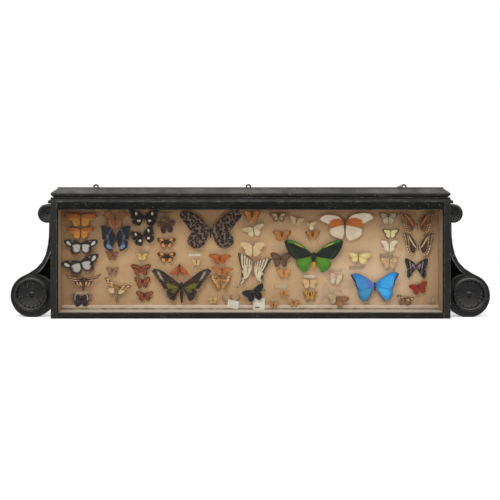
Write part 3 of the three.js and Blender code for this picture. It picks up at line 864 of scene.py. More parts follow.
dresses = dict(
    longwing=dict(
        fore=("#9e5b2a", [
            ("#4f3221", 0.9, "costa", 0.12), ("#452d20", 0.95, "edge", 0.09),
            ("#553623", 0.9, "tip", 0.18), ("#3f2b20", 0.8, "spot", 0.62, 0.8, 0.03, 0.1),
            ("#bd7b38", 0.7, "inner", 0.3), ("#7d4826", 0.5, "rays", 8, 0.14),
        ]),
        hind=("#c28538", [
            ("#57391f", 0.95, "edge", 0.09), ("#9c5a2c", 0.7, "root", 0.25),
            ("#4a3020", 0.85, "spot", 0.5, 0.55, 0.06, 0.08),
            ("#4a3020", 0.8, "spot", 0.66, 0.72, 0.04, 0.06), ("#a1642c", 0.5, "rays", 6, 0.14),
        ]),
    ),
    admiral=dict(
        fore=("#2b231f", [
            ("#aeaaa3", 1, "spot", 0.76, 0.58, 0.1, 0.24),
            ("#a8a49f", 0.7, "spot", 0.5, 0.84, 0.05, 0.05),
            ("#a39f98", 1, "spot", 0.4, 0.1, 0.3, 0.28), ("#5a4238", 0.6, "edge", 0.05),
        ]),
        hind=("#3a2820", [
            ("#a8a49c", 1, "spot", 0.36, 0.62, 0.36, 0.48), ("#6a3f2c", 0.9, "foot", 0.2),
            ("#5a3426", 0.7, "edge", 0.1), ("#241a15", 0.6, "rays", 6, 0.16),
        ]),
    ),
    hawkmoth=dict(
        fore=("#442a1c", [
            ("#b28e6a", 1, "spot", 0.62, 0.34, 0.42, 0.1),
            ("#a07a5a", 0.95, "spot", 0.56, 0.8, 0.42, 0.08),
            ("#3a271c", 0.8, "spot", 0.3, 0.5, 0.2, 0.2),
        ]),
        hind=("#573a2b", [
            ("#c39c76", 0.95, "band", 0.26, 0.44, 0.2), ("#b78f6a", 0.95, "band", 0.64, 0.8, 0.2),
        ]),
    ),
    purpleBrown=dict(
        fore=("#33272a", [
            ("#b9a083", 0.95, "band", 0.6, 0.67, 0.4), ("#7a5c46", 0.85, "tip", 0.3),
            ("#b59b7e", 0.7, "row", 0.84, 4, 0.04, 0.2),
        ]),
        hind=("#2f2526", [
            ("#393b4d", 0.8, "spot", 0.5, 0.6, 0.18, 0.24), ("#5b3d31", 0.7, "edge", 0.14),
        ]),
    ),
    fadedLeaf=dict(
        fore=("#805235", [
            ("#6b4229", 0.7, "edge", 0.1), ("#b58458", 0.7, "row", 0.62, 5, 0.07, 0.25),
            ("#6a442c", 0.7, "blotch", 220, 0.55),
        ]),
        hind=("#825030", [
            ("#6b4229", 0.7, "edge", 0.08), ("#b98a5e", 0.8, "row", 0.66, 4, 0.08, 0.25),
            ("#a3683f", 0.6, "blotch", 180, 0.52),
        ]),
    ),
    blueBand=dict(
        fore=("#1c1818", [
            ("#41506c", 0.9, "band", 0.5, 0.58, 0.34), ("#485a76", 0.8, "spot", 0.6, 0.2, 0.08, 0.18),
            ("#15141a", 0.8, "rays", 8, 0.3), ("#222229", 0.9, "edge", 0.12),
            ("#4d5a78", 0.6, "row", 0.72, 6, 0.02, 0.14),
        ], 0.6),
        hind=("#1c1919", [
            ("#425574", 0.9, "band", 0.58, 0.7, 0.2), ("#64829c", 0.9, "spot", 0.74, 0.34, 0.12, 0.26),
            ("#1a1a20", 0.9, "edge", 0.12), ("#15151b", 0.6, "rays", 7, 0.26),
        ], 0.6),
    ),
    smallBrown=plain("#7a4f32", "#55382a", "#48302a"),
    smallTan=plain("#876344", "#5f4434", "#573f31"),
    paleRust=plain("#b4834f", "#8f6238", "#a0703f"),
    tigerMoth=dict(
        fore=("#a0632f", [
            ("#4b2d1c", 0.95, "blotch", 190, 0.52), ("#e0cc9e", 0.9, "row", 0.42, 3, 0.1, 0.26),
            ("#e0cc9e", 0.9, "row", 0.74, 3, 0.08, 0.24), ("#5a3420", 0.8, "costa", 0.1),
        ]),
        hind=("#cbac82", [("#8f5a30", 0.9, "edge", 0.1), ("#8a6347", 0.5, "root", 0.25)]),
    ),
    eggfly=dict(
        fore=("#1e150e", [
            ("#bcae9b", 1, "spot", 0.6, 0.62, 0.07, 0.2), ("#bfb5a6", 0.7, "row", 0.93, 7, 0.02, 0.14),
        ]),
        hind=("#231a15", [
            ("#bfb2a1", 1, "spot", 0.48, 0.5, 0.12, 0.24), ("#4a3a33", 0.6, "edge", 0.08),
            ("#a1978a", 0.5, "row", 0.9, 6, 0.02, 0.12),
        ]),
    ),
    raggedBrown=dict(
        fore=("#876549", [
            ("#4a382c", 0.8, "blotch", 160, 0.5), ("#a58763", 0.6, "row", 0.8, 5, 0.08, 0.3),
        ]),
        hind=("#6d4f38", [("#4a382c", 0.7, "blotch", 160, 0.52)]),
    ),
    orangeTipped=dict(
        fore=("#4f3c31", [
            ("#96602f", 0.8, "row", 0.8, 4, 0.08, 0.3), ("#6b4634", 0.7, "edge", 0.06),
            ("#8c7050", 0.6, "tip", 0.08),
        ]),
        hind=("#342823", [("#3a3030", 0.7, "spot", 0.5, 0.5, 0.3, 0.35), ("#6d5446", 0.6, "edge", 0.07)]),
    ),
    barkOrange=dict(
        fore=("#38261b", [
            ("#b68044", 1, "spot", 0.5, 0.68, 0.2, 0.26),
            ("#ab773e", 0.95, "spot", 0.78, 0.3, 0.11, 0.13), ("#96673a", 0.8, "tip", 0.12),
            ("#33221a", 0.8, "edge", 0.08), ("#b98746", 0.8, "row", 0.86, 4, 0.03, 0.16),
        ]),
        hind=("#38251b", [
            ("#b27c40", 1, "spot", 0.68, 0.46, 0.22, 0.38), ("#4c3120", 0.8, "edge", 0.07),
        ]),
    ),
    paleOchre=dict(
        fore=("#bd9a58", [
            ("#5d4530", 0.95, "tip", 0.16), ("#6b4f30", 0.9, "edge", 0.12),
            ("#6b5034", 0.9, "costa", 0.14),
        ]),
        hind=("#c9a868", [("#6b5034", 0.85, "edge", 0.1)]),
    ),
    curvedBands=dict(
        fore=("#8e4b26", [
            ("#35190f", 1, "costa", 0.16), ("#35190f", 1, "edge", 0.12),
            ("#391c12", 1, "streak", 0.1, 0.55, 0.07, 0.95), ("#391c12", 0.9, "root", 0.16),
        ]),
        hind=("#9a4f24", [
            ("#391c12", 1, "band", 0.34, 0.5, 0.1), ("#35190f", 1, "edge", 0.18),
            ("#391c12", 0.9, "band", 0.64, 0.7, 0.1),
        ]),
    ),
    tortoise=dict(
        fore=("#a0552b", [
            ("#40210f", 0.95, "root", 0.3), ("#371c10", 1, "edge", 0.14), ("#371c10", 1, "costa", 0.14),
            ("#391f12", 0.95, "band", 0.46, 0.56, 0.3), ("#391f12", 0.8, "row", 0.72, 4, 0.05, 0.2),
        ]),
        hind=("#8f4a24", [
            ("#40210f", 0.9, "root", 0.34), ("#371c10", 1, "edge", 0.16),
            ("#391f12", 0.95, "row", 0.66, 5, 0.06, 0.3),
        ]),
    ),
    nymph=dict(
        fore=("#705a4a", [
            ("#1b1410", 1, "dapple", 7.2, 0.44, 0.8), ("#1b1410", 1, "row", 0.93, 11, 0.03, 0.3),
            ("#231a15", 0.9, "edge", 0.015), ("#231a15", 0.9, "costa", 0.04),
            ("#2a201a", 0.6, "rays", 12, 0.12),
        ]),
        hind=("#705a4a", [
            ("#1b1410", 1, "dapple", 6.8, 0.44, 0.8), ("#1b1410", 1, "row", 0.93, 12, 0.03, 0.3),
            ("#231a15", 0.9, "edge", 0.015), ("#2a201a", 0.6, "rays", 12, 0.12),
        ]),
    ),
    orangeMoth=dict(
        fore=("#9c4e26", [
            ("#8f4222", 0.7, "edge", 0.08), ("#b06a3c", 0.6, "band", 0.5, 0.6, 0.1),
            ("#8a4526", 0.6, "root", 0.2),
        ]),
        hind=("#934b26", [("#8f4222", 0.6, "edge", 0.1)]),
    ),
    blackBirdwing=dict(
        fore=("#351f10", [
            ("#6b6416", 1, "spot", 0.5, 0.06, 0.36, 0.32), ("#241710", 0.85, "rays", 11, 0.36),
            ("#c9b8a6", 0.85, "row", 0.8, 16, 0.06, 0.26), ("#2c1e17", 1, "inner", 0.02),
            ("#271a14", 1, "tip", 0.12), ("#4a3226", 0.8, "edge", 0.1),
            ("#211611", 1, "spot", 0.84, 0.18, 0.12, 0.32), ("#1c1410", 0.9, "costa", 0.12),
        ], 0.6),
        hind=("#311d0f", [
            ("#5a5516", 1, "spot", 0.36, 0.7, 0.22, 0.3), ("#1e1410", 0.85, "rays", 7, 0.3),
            ("#d3c6b8", 1, "row", 0.93, 6, 0.035, 0.18), ("#8a7a68", 0.8, "row", 0.8, 6, 0.025, 0.12),
        ], 0.6),
    ),
    acraea=dict(
        fore=("#a05a2a", [
            ("#a84f24", 0.8, "inner", 0.4), ("#843f22", 0.8, "root", 0.2),
            ("#5f3520", 0.8, "edge", 0.07), ("#5f3520", 0.7, "costa", 0.1),
        ]),
        hind=("#a04f22", [
            ("#5f3520", 0.8, "edge", 0.1), ("#74381d", 0.6, "root", 0.2),
            ("#5f3520", 0.6, "rays", 5, 0.14),
        ]),
    ),
    acraeaYellow=dict(
        fore=("#aa6b2e", [
            ("#9a4822", 0.85, "root", 0.35), ("#623921", 0.8, "edge", 0.09),
            ("#623921", 0.6, "costa", 0.1),
        ]),
        hind=("#a66e34", [
            ("#6f4328", 0.8, "edge", 0.12), ("#9a4822", 0.7, "root", 0.3),
            ("#6f4328", 0.6, "rays", 5, 0.14),
        ]),
    ),
    paintedLady=dict(
        fore=("#bb803e", [
            ("#4b3423", 1, "blotch", 190, 0.53), ("#dbc9a5", 0.9, "row", 0.72, 4, 0.07, 0.28),
            ("#45332a", 0.85, "tip", 0.14), ("#5f4634", 0.8, "edge", 0.07),
        ]),
        hind=("#9e6c33", [
            ("#7d6a56", 0.9, "root", 0.3), ("#51371f", 0.9, "row", 0.8, 5, 0.05, 0.28),
            ("#d8c49c", 0.8, "row", 0.56, 4, 0.07, 0.22), ("#6b4a2e", 0.6, "blotch", 210, 0.58),
        ]),
    ),
    paleYellow=plain("#c3a56c", "#86683e", "#735534"),
    fadedBeige=plain("#a58a68", "#7c6248", "#8a4f33"),
    orangeDark=dict(
        fore=("#b37236", [
            ("#4a3020", 0.95, "edge", 0.13), ("#4a3020", 0.8, "tip", 0.18),
            ("#57401f", 0.8, "root", 0.24), ("#55371f", 0.8, "blotch", 330, 0.6),
            ("#5a3c22", 0.7, "costa", 0.08),
        ]),
        hind=("#b0723a", [
            ("#553622", 0.9, "edge", 0.1), ("#5c4422", 0.85, "root", 0.3),
            ("#55371f", 0.8, "row", 0.72, 4, 0.04, 0.22),
        ]),
    ),
    veinedWhite=dict(
        fore=("#6b4d36", [
            ("#b59c7c", 0.95, "spot", 0.48, 0.45, 0.24, 0.3),
            ("#c4b69e", 0.8, "row", 0.82, 4, 0.05, 0.22), ("#463830", 0.8, "rays", 6, 0.16),
        ]),
        hind=("#63472f", [
            ("#ad9474", 0.95, "spot", 0.46, 0.55, 0.3, 0.36), ("#4b3d34", 0.8, "rays", 5, 0.18),
            ("#b9ab94", 0.6, "row", 0.86, 5, 0.03, 0.2),
        ]),
    ),
    orangeTip=plain("#bda37c", "#7d6548", "#b3683a"),
    paleGreen=dict(
        fore=("#c0a76e", [("#cbb988", 0.7, "spot", 0.5, 0.5, 0.3, 0.3), ("#84704c", 0.6, "edge", 0.08)]),
        hind=("#d2c59c", [("#84704c", 0.5, "edge", 0.07)]),
    ),
    paleWhite=dict(
        fore=("#c0aa84", [("#a3906b", 0.6, "edge", 0.08), ("#8d7450", 0.7, "tip", 0.1)]),
        hind=("#cdb894", [("#ab9873", 0.5, "edge", 0.08), ("#c4b285", 0.5, "root", 0.3)]),
    ),
    cream=dict(
        fore=("#c6a97e", [("#b49466", 0.7, "edge", 0.05), ("#ad8c5f", 0.5, "tip", 0.1)]),
        hind=("#c5a981", [("#b49466", 0.6, "edge", 0.05)]),
    ),
    zebra=dict(
        fore=("#bfac8c", [
            ("#2f2620", 0.95, "bars", 6, 0.34, 0.2, 9), ("#2c231e", 0.95, "edge", 0.14),
            ("#6b5a45", 0.5, "root", 0.15), ("#3a2f27", 0.8, "costa", 0.05),
        ]),
        hind=("#c6b698", [
            ("#2a221d", 0.95, "edge", 0.2), ("#8c4a30", 0.95, "spot", 0.66, 0.12, 0.05, 0.06),
            ("#2f2620", 0.85, "band", 0.5, 0.56, 0.3), ("#d0c4a8", 0.9, "row", 0.88, 4, 0.04, 0.2),
        ]),
    ),
    purpleReddish=dict(
        fore=("#58402f", [
            ("#65473c", 0.8, "spot", 0.55, 0.5, 0.3, 0.25), ("#3c261d", 0.8, "edge", 0.08),
            ("#3f2a20", 0.8, "row", 0.8, 6, 0.04, 0.2),
        ]),
        hind=("#5a4133", [
            ("#64463b", 0.7, "spot", 0.5, 0.5, 0.3, 0.35), ("#3c261d", 0.8, "edge", 0.08),
            ("#3f2a20", 0.7, "row", 0.8, 5, 0.04, 0.2),
        ]),
    ),
    smallOrange=plain("#bd8548", "#7a5030", "#6a4428"),
    greenBirdwing=dict(
        fore=("#11140d", [
            ("#397619", 1, "costa", 0.14), ("#8b8a2c", 0.95, "spot", 0.52, 0.86, 0.16, 0.06),
            ("#14280e", 1, "costa", 0.04), ("#5b7d26", 0.95, "inner", 0.07),
            ("#4f7f24", 0.8, "band", 0.86, 0.87, -0.12), ("#10140c", 1, "edge", 0.12),
            ("#1f2a15", 0.7, "rays", 8, 0.12), ("#11140d", 1, "root", 0.08),
        ], 0.5),
        hind=("#427716", [
            ("#4f851c", 0.6, "spot", 0.5, 0.6, 0.3, 0.3), ("#1a3410", 1, "edge", 0.04),
            ("#16300f", 0.8, "row", 0.8, 6, 0.025, 0.1), ("#2c5a1c", 0.7, "root", 0.22),
            ("#2f5f1d", 0.6, "rays", 7, 0.12),
        ], 0.5),
    ),
    buff=dict(
        fore=("#c9a374", [
            ("#9c6b45", 0.7, "row", 0.78, 4, 0.05, 0.25), ("#8a5f3e", 0.7, "costa", 0.1),
            ("#8a5f3e", 0.6, "edge", 0.07),
        ]),
        hind=("#d3b083", [("#9c6b45", 0.6, "row", 0.74, 4, 0.05, 0.2), ("#9b7048", 0.6, "edge", 0.07)]),
    ),
    orangeBlack=dict(
        fore=("#c89244", [
            ("#3f2a1b", 0.95, "bars", 3, 0.3, -1, 9), ("#3f2a1b", 0.9, "edge", 0.12),
            ("#3f2a1b", 0.8, "root", 0.15),
        ]),
        hind=("#bf8d42", [
            ("#3f2a1b", 0.9, "row", 0.72, 4, 0.07, 0.25), ("#3f2a1b", 0.9, "edge", 0.1),
            ("#3f2a1b", 0.7, "root", 0.2),
        ]),
    ),
    orangeBandWhite=dict(
        fore=("#b8672f", [
            ("#cfc1a9", 1, "band", 0.7, 9, 1.25), ("#dccfb9", 0.6, "spot", 0.88, 0.6, 0.16, 0.3),
            ("#8f7458", 0.6, "edge", 0.02), ("#a35a2b", 0.5, "costa", 0.05),
            ("#8f4f28", 0.5, "root", 0.2),
        ]),
        hind=("#d2c2a5", [
            ("#a99270", 0.5, "edge", 0.03), ("#c2b092", 0.6, "rays", 6, 0.2),
            ("#9a8262", 0.5, "root", 0.12),
        ]),
    ),
    redTips=dict(
        fore=("#c5ad8e", [("#a8583c", 0.95, "tip", 0.22), ("#4d3b30", 0.6, "spot", 0.3, 0.4, 0.08, 0.1)]),
        hind=("#c9b898", [("#8e8069", 0.6, "edge", 0.05)]),
    ),
    deadLeaf=dict(
        fore=("#b59a78", [("#8a6e50", 0.8, "edge", 0.06), ("#a5886a", 0.5, "blotch", 90, 0.5)]),
        hind=("#bca280", [("#8a6e50", 0.8, "edge", 0.08)]),
        foreRight=("#8a5f3e", [
            ("#6d472d", 0.7, "band", 0.5, 0.55, 0), ("#a67a52", 0.6, "blotch", 90, 0.55),
            ("#5f4029", 0.6, "edge", 0.06),
        ]),
        hindRight=("#8d6544", [("#a67a52", 0.6, "blotch", 90, 0.5), ("#5f4029", 0.6, "edge", 0.08)]),
    ),
    sulphur=dict(
        fore=("#c5ae70", [
            ("#d4c384", 0.6, "spot", 0.5, 0.5, 0.25, 0.3), ("#a08f5a", 0.7, "edge", 0.04),
            ("#a8965c", 0.6, "costa", 0.06),
        ]),
        hind=("#cab57a", [
            ("#d4c384", 0.6, "spot", 0.5, 0.5, 0.25, 0.35), ("#b5a468", 0.5, "edge", 0.04),
        ]),
    ),
    morpho=dict(
        fore=("#2a73ae", [
            ("#3c8bbd", 0.7, "spot", 0.62, 0.4, 0.3, 0.4), ("#5a68b8", 0.75, "root", 0.4),
            ("#1a1a28", 1, "costa", 0.04), ("#241c24", 1, "edge", 0.08), ("#2b1e20", 1, "tip", 0.08),
            ("#1f5a98", 0.5, "rays", 9, 0.1),
        ], 0.38, 0.35),
        hind=("#2d84b4", [
            ("#3f97b8", 0.6, "spot", 0.5, 0.6, 0.3, 0.3), ("#1c2440", 1, "edge", 0.05),
            ("#6a5444", 0.9, "inner", 0.18), ("#216a98", 0.6, "rays", 8, 0.12),
            ("#4a62b0", 0.5, "root", 0.3),
        ], 0.38, 0.35),
        foreRight=("#2189ca", [
            ("#3aa4dc", 0.7, "spot", 0.6, 0.4, 0.35, 0.4), ("#1a6cc0", 0.6, "root", 0.25),
            ("#1a1a28", 1, "costa", 0.04), ("#241c24", 1, "edge", 0.08), ("#2b1e20", 1, "tip", 0.08),
            ("#1a6cb8", 0.5, "rays", 9, 0.1),
        ], 0.38, 0.35),
        hindRight=("#2492da", [
            ("#45b4ee", 0.6, "spot", 0.5, 0.6, 0.3, 0.3), ("#1c2440", 1, "edge", 0.05),
            ("#6a5444", 0.9, "inner", 0.18), ("#1c6cb2", 0.6, "rays", 8, 0.12),
        ], 0.38, 0.35),
    ),
    greyWhite=dict(
        fore=("#9f8b72", [
            ("#54483c", 0.9, "edge", 0.14), ("#54483c", 0.9, "tip", 0.2),
            ("#5f5343", 0.7, "root", 0.24), ("#54483c", 0.6, "blotch", 200, 0.58),
        ]),
        hind=("#b7a68a", [("#5c5044", 0.8, "edge", 0.08)]),
    ),
    yellowBrown=dict(
        fore=("#d3c487", [("#4a3829", 0.95, "edge", 0.2), ("#4a3829", 0.9, "costa", 0.16)]),
        hind=("#d7ca93", [("#4a3829", 0.95, "edge", 0.2)]),
    ),
    whiteEdged=dict(
        fore=("#d2c2a4", [
            ("#4f4030", 0.95, "row", 0.95, 5, 0.045, 0.3), ("#6b5d4c", 0.8, "costa", 0.06),
        ]),
        hind=("#d3c3a8", [("#4f4030", 0.9, "row", 0.95, 5, 0.04, 0.26)]),
    ),
    creamBrown=dict(
        fore=("#c4a57e", [
            ("#6b4a35", 0.9, "tip", 0.16), ("#7c593f", 0.8, "costa", 0.14),
            ("#8a6445", 0.8, "blotch", 260, 0.56), ("#a0683c", 0.7, "edge", 0.07),
        ]),
        hind=("#bfa27b", [
            ("#8f6540", 0.85, "edge", 0.09), ("#6b4a35", 0.8, "row", 0.72, 4, 0.05, 0.24),
            ("#8a6445", 0.6, "blotch", 260, 0.6),
        ]),
    ),
    swordOrange=dict(
        fore=("#5f4130", [
            ("#a87c4a", 0.8, "row", 0.7, 7, 0.05, 0.24), ("#b48d58", 0.75, "row", 0.9, 8, 0.04, 0.26),
            ("#c0672f", 1, "streak", 0, 1.25, 0.11, 0.6), ("#49301f", 0.8, "costa", 0.08),
            ("#4b3224", 0.6, "rays", 9, 0.2),
        ]),
        hind=("#5c3f2f", [
            ("#c7a26c", 1, "row", 0.88, 5, 0.07, 0.34), ("#b58a55", 0.95, "row", 0.68, 5, 0.06, 0.3),
            ("#a8763f", 0.8, "row", 0.48, 4, 0.05, 0.24),
        ]),
    ),
    swordCream=dict(
        fore=("#4b352b", [
            ("#c0a26c", 0.9, "row", 0.7, 6, 0.06, 0.28), ("#cbb07c", 0.9, "row", 0.9, 7, 0.045, 0.28),
            ("#d0b27a", 1, "streak", 0, 1.25, 0.1, 0.62), ("#3f2a20", 0.8, "costa", 0.08),
        ]),
        hind=("#49342b", [
            ("#dcc08c", 1, "row", 0.88, 5, 0.08, 0.36), ("#c9aa74", 0.95, "row", 0.68, 5, 0.06, 0.28),
        ]),
    ),
    jay=dict(
        fore=("#1e1a18", [
            ("#aba28f", 0.9, "row", 0.57, 4, 0.07, 0.26), ("#a8a294", 0.6, "row", 0.83, 6, 0.025, 0.14),
            ("#96608c", 1, "spot", 0.29, 0.28, 0.13, 0.25),
            ("#6f7350", 0.6, "spot", 0.3, 0.6, 0.2, 0.12), ("#1e1a18", 1, "costa", 0.14),
        ]),
        hind=("#1f1b19", [
            ("#9c7496", 0.8, "spot", 0.2, 0.7, 0.12, 0.2),
            ("#a69f91", 0.65, "row", 0.56, 3, 0.07, 0.18), ("#8a847a", 0.7, "row", 0.86, 4, 0.03, 0.16),
        ]),
    ),
    redGlider=dict(
        fore=("#98301f", [
            ("#5c2318", 0.8, "edge", 0.07), ("#6e2819", 0.6, "root", 0.25),
            ("#4c2018", 0.6, "rays", 5, 0.14),
        ]),
        hind=("#933020", [("#552017", 0.8, "edge", 0.09), ("#6e2819", 0.5, "root", 0.25)]),
    ),
    charcoal=dict(
        fore=("#1c1b1c", [("#35322f", 0.6, "rays", 6, 0.25), ("#121212", 0.7, "root", 0.3)]),
        hind=("#1b1a1b", [("#302d2b", 0.6, "edge", 0.1)]),
    ),
    brownCream=dict(
        fore=("#6b4630", [
            ("#cdb184", 0.9, "blotch", 170, 0.54), ("#3c281c", 0.8, "tip", 0.15),
            ("#3c281c", 0.8, "costa", 0.12),
        ]),
        hind=("#8a6a4a", [("#5b3d2b", 0.9, "edge", 0.2), ("#5b3d2b", 0.7, "root", 0.25)]),
    ),
    debris=plain("#b8a488", "#8a7658", "#8a7658"),
)

# The specimens: name, shape, dress, X and height of the wing root, half span, turn in degrees,
# height factor, how far it stands off the lining, fur of the chest and after a slash of the tail,
# colour slot of its wings. Sizes in millimetres
mounted = [
    ("longwing_orange_top", "longWing", "longwing", -415.5, 243, 42, 0, 1.0, 12, "brown", "orange"),
    ("longwing_orange_second", "longWing", "longwing", -416.5, 210.5, 35, 1, 1.04, 9, "brown", "orange"),
    ("admiral_white_upper", "broadWing", "admiral", -414.5, 178, 43, 0, 1.0, 12, "dark", "dark"),
    ("admiral_white_lower", "broadWing", "admiral", -416.5, 133, 48.5, 14, 0.94, 9, "dark", "dark"),
    ("hawkmoth_striped", "hawk", "hawkmoth", -409, 91, 44, 1, 1.0, 13, "brown", "brown"),
    ("emperor_purple_white", "broadWing", "purpleBrown", -414.5, 46.5, 28, 0, 1.25, 8, "dark", "dark"),
    ("leafwing_russet", "roundWing", "fadedLeaf", -332, 239, 30, 0, 1.46, 8, "brown", "brown"),
    ("nymphalid_blue_band", "emperorWing", "blueBand", -329.5, 195, 37, 0, 1.07, 12, "dark", "blue"),
    ("skipper_brown", "broadWing", "smallBrown", -338.5, 153, 16, 0, 1.52, 8, "brown", "brown"),
    ("skipper_tan", "broadWing", "smallTan", -338.5, 115, 16, 0, 1.38, 8, "brown", "brown"),
    ("tiger_moth_cream", "sphinx", "tigerMoth", -327.5, 70, 37, 0, 1.0, 10, "pale", "orange"),
    ("eggfly_black_top", "emperorWing", "eggfly", -260, 243.5, 37.5, 0, 0.67, 9, "dark", "dark"),
    ("eggfly_black_turned", "emperorWing", "eggfly", -262.5, 197.5, 31, 17, 0.82, 12, "dark", "dark"),
    ("satyr_ragged", "broadWing", "raggedBrown", -209.5, 250, 20.5, 0, 1.24, 8, "brown", "brown"),
    ("brown_orange_tips", "broadWing", "orangeTipped", -206, 226, 24.5, 6, 1.42, 9, "dark", "dark"),
    ("bark_orange_upper", "broadWing", "barkOrange", -205.5, 185.5, 24, 0, 1.16, 9, "dark", "orange"),
    ("bark_orange_lower", "broadWing", "barkOrange", -205, 150, 24, 0, 1.18, 9, "dark", "orange"),
    ("sulphur_small", "roundWing", "paleOchre", -265.5, 148, 16.5, 0, 1.12, 8, "pale", "pale"),
    ("bush_orange_striped", "broadWing", "curvedBands", -268, 120, 25, 0, 1.2, 9, "brown", "orange"),
    ("crescent_orange", "broadWing", "tortoise", -264.5, 88, 20.5, 0, 1.4, 8, "brown", "orange"),
    ("crescent_russet", "broadWing", "tortoise", -259, 54.5, 22, 0, 1.17, 8, "brown", "orange"),
    ("tree_nymph_grey", "nymph", "nymph", -97, 208.7, 76.5, 0, 1.05, 12, "dark", "grey"),
    ("midge_yellow", "broadWing", "paleYellow", -132, 134.5, 12.5, 0, 1.38, 8, "brown", "pale"),
    ("moth_orange_folded", "resting", "orangeMoth", -173.5, 118.5, 25, 0, 0.83, 9, "brown", "orange"),
    ("birdwing_black_green", "blackBirdwing", "blackBirdwing", -168, 77, 75, 0, 0.98, 12, "dark", "dark"),
    ("acraea_orange_upper", "longWing", "acraea", -74, 145.5, 28, -1, 1.05, 9, "dark", "orange"),
    ("acraea_orange_lower", "longWing", "acraeaYellow", -68.5, 114, 26.5, -4, 1.05, 9, "dark", "orange"),
    ("painted_orange", "broadWing", "paintedLady", -72, 89, 27, 0, 1.42, 9, "pale", "orange"),
    ("moth_pale_tiny", "broadWing", "paleYellow", -91.5, 41.5, 13, 0, 1.32, 8, "pale", "pale"),
    ("moth_beige_hidden", "broadWing", "fadedBeige", -47, 44, 22.5, 0, 1.28, 4, "brown", "pale"),
    ("fritillary_orange", "broadWing", "orangeDark", 4.5, 251, 22, 0, 1.45, 8, "dark", "orange"),
    ("white_veined", "broadWing", "veinedWhite", 70, 248.5, 23.5, 0, 1.15, 8, "dark", "pale"),
    ("moth_orange_tip", "broadWing", "orangeTip", 115, 237.5, 20, -12, 1.08, 8, "dark", "pale"),
    ("half_pale_green", "broadWing", "paleGreen", 146, 227.5, 17.5, -4, 1.45, 8, "pale", "pale"),
    ("white_slender_moth", "longWing", "paleWhite", 8, 213, 27, 8, 1.14, 9, "pale", "pale"),
    ("copper_orange", "broadWing", "orangeDark", 78, 203, 22.5, 0, 1.22, 8, "dark", "orange"),
    ("copper_small", "broadWing", "orangeDark", 153.5, 203, 17.7, 3, 1.38, 8, "brown", "orange"),
    ("white_cream", "roundWing", "cream", 6.5, 168, 32, 0, 1.1, 12, "pale", "pale"),
    ("brown_purple", "broadWing", "purpleReddish", 75, 146.5, 25.5, 0, 1.57, 9, "dark", "dark"),
    ("swallowtail_zebra", "zebra", "zebra", 8, 129, 43, -3, 1.0, 9, "pale", "pale"),
    ("hairstreak_orange", "broadWing", "smallOrange", 83, 108.5, 18, 0, 1.28, 8, "brown", "orange"),
    ("birdwing_green", "greenBirdwing", "greenBirdwing", 156, 150.5, 72.5, 0, 1.0, 12, "dark/yellow", "green"),
    ("moth_tan_damaged", "longWing", "paleRust", 82.5, 58, 13.5, 0, 1.6, 8, "brown", "brown"),
    ("swallowtail_black_small", "broadWing", "charcoal", 7, 61.5, 28, 14, 1.3, 12, "dark", "dark"),
    ("moth_orange_low_left", "longWing", "paleRust", 58, 30, 14, -6, 1.3, 8, "brown", "orange"),
    ("moth_orange_low_right", "longWing", "paleRust", 107, 35, 16, 0, 1.3, 8, "brown", "orange"),
    ("skipper_buff", "broadWing", "buff", 146, 85, 21.5, 0, 1.16, 8, "dark", "pale"),
    ("fritillary_small", "broadWing", "orangeBlack", 147, 55.5, 18.5, 0, 1.48, 8, "dark", "orange"),
    ("white_orange_band", "roundWing", "orangeBandWhite", 232.5, 226, 66, 1, 0.99, 9, "brown", "pale"),
    ("white_red_tips", "broadWing", "redTips", 211.5, 97, 18.5, -10, 1.55, 8, "pale", "pale"),
    ("leaf_brown", "broadWing", "deadLeaf", 212, 46, 29, -6, 1.1, 9, "brown", "brown"),
    ("sulphur_pale", "broadWing", "sulphur", 266.5, 149.5, 30.5, -3, 1.0, 9, "pale", "pale"),
    ("morpho_blue", "morpho", "morpho", 306, 77.5, 60.5, 2, 1.05, 12, "brown", "blue"),
    ("white_grey_margin", "broadWing", "greyWhite", 339.5, 245, 23, 0, 1.3, 8, "dark", "pale"),
    ("sulphur_brown_border", "broadWing", "yellowBrown", 345, 207.5, 21.5, 0, 1.17, 8, "pale", "pale"),
    ("white_edged", "roundWing", "whiteEdged", 341.5, 175, 22, 0, 1.32, 8, "pale", "pale"),
    ("cream_brown_corners", "broadWing", "creamBrown", 341.5, 137.5, 23.5, 0, 1.47, 8, "pale", "pale"),
    ("swordtail_orange_band", "swordtail", "swordOrange", 409.5, 224.5, 45, 0, 0.99, 12, "brown", "brown"),
    ("swordtail_cream_band", "swordtail", "swordCream", 413, 171.5, 40, 0, 1.17, 9, "brown", "brown"),
    ("jay_purple_spot", "jay", "jay", 408, 124, 30, 0, 0.95, 9, "dark", "dark"),
    ("glider_red", "broadWing", "redGlider", 412.5, 74.5, 23.5, 14, 1.32, 9, "brown", "red"),
    ("moth_brown_cream", "broadWing", "brownCream", 381, 43.5, 22, -8, 1.15, 8, "brown", "brown"),
    ("moth_debris", "broadWing", "debris", 443.5, 40, 10.5, 6, 0.9, 8, "pale", "pale"),
]
even = ((0, 1), (0, 1))
sideTurns = dict(  # extra turn and size of the left wings, then of the right ones
    tiger_moth_cream=((32, 1), (-4, 0.98)),
    white_orange_band=((0, 0.92), (0, 1.04)),
    swallowtail_zebra=((8, 1), (-6, 1)),
    swallowtail_black_small=((-6, 1), (8, 1.05)),
    white_slender_moth=((0, 1), (10, 1.05)),
    sulphur_pale=((0, 0.9), (0, 1.08)),
    half_pale_green=((0, 0.35), (0, 1)),
    leaf_brown=((0, 0.8), (-8, 1.1)),
)
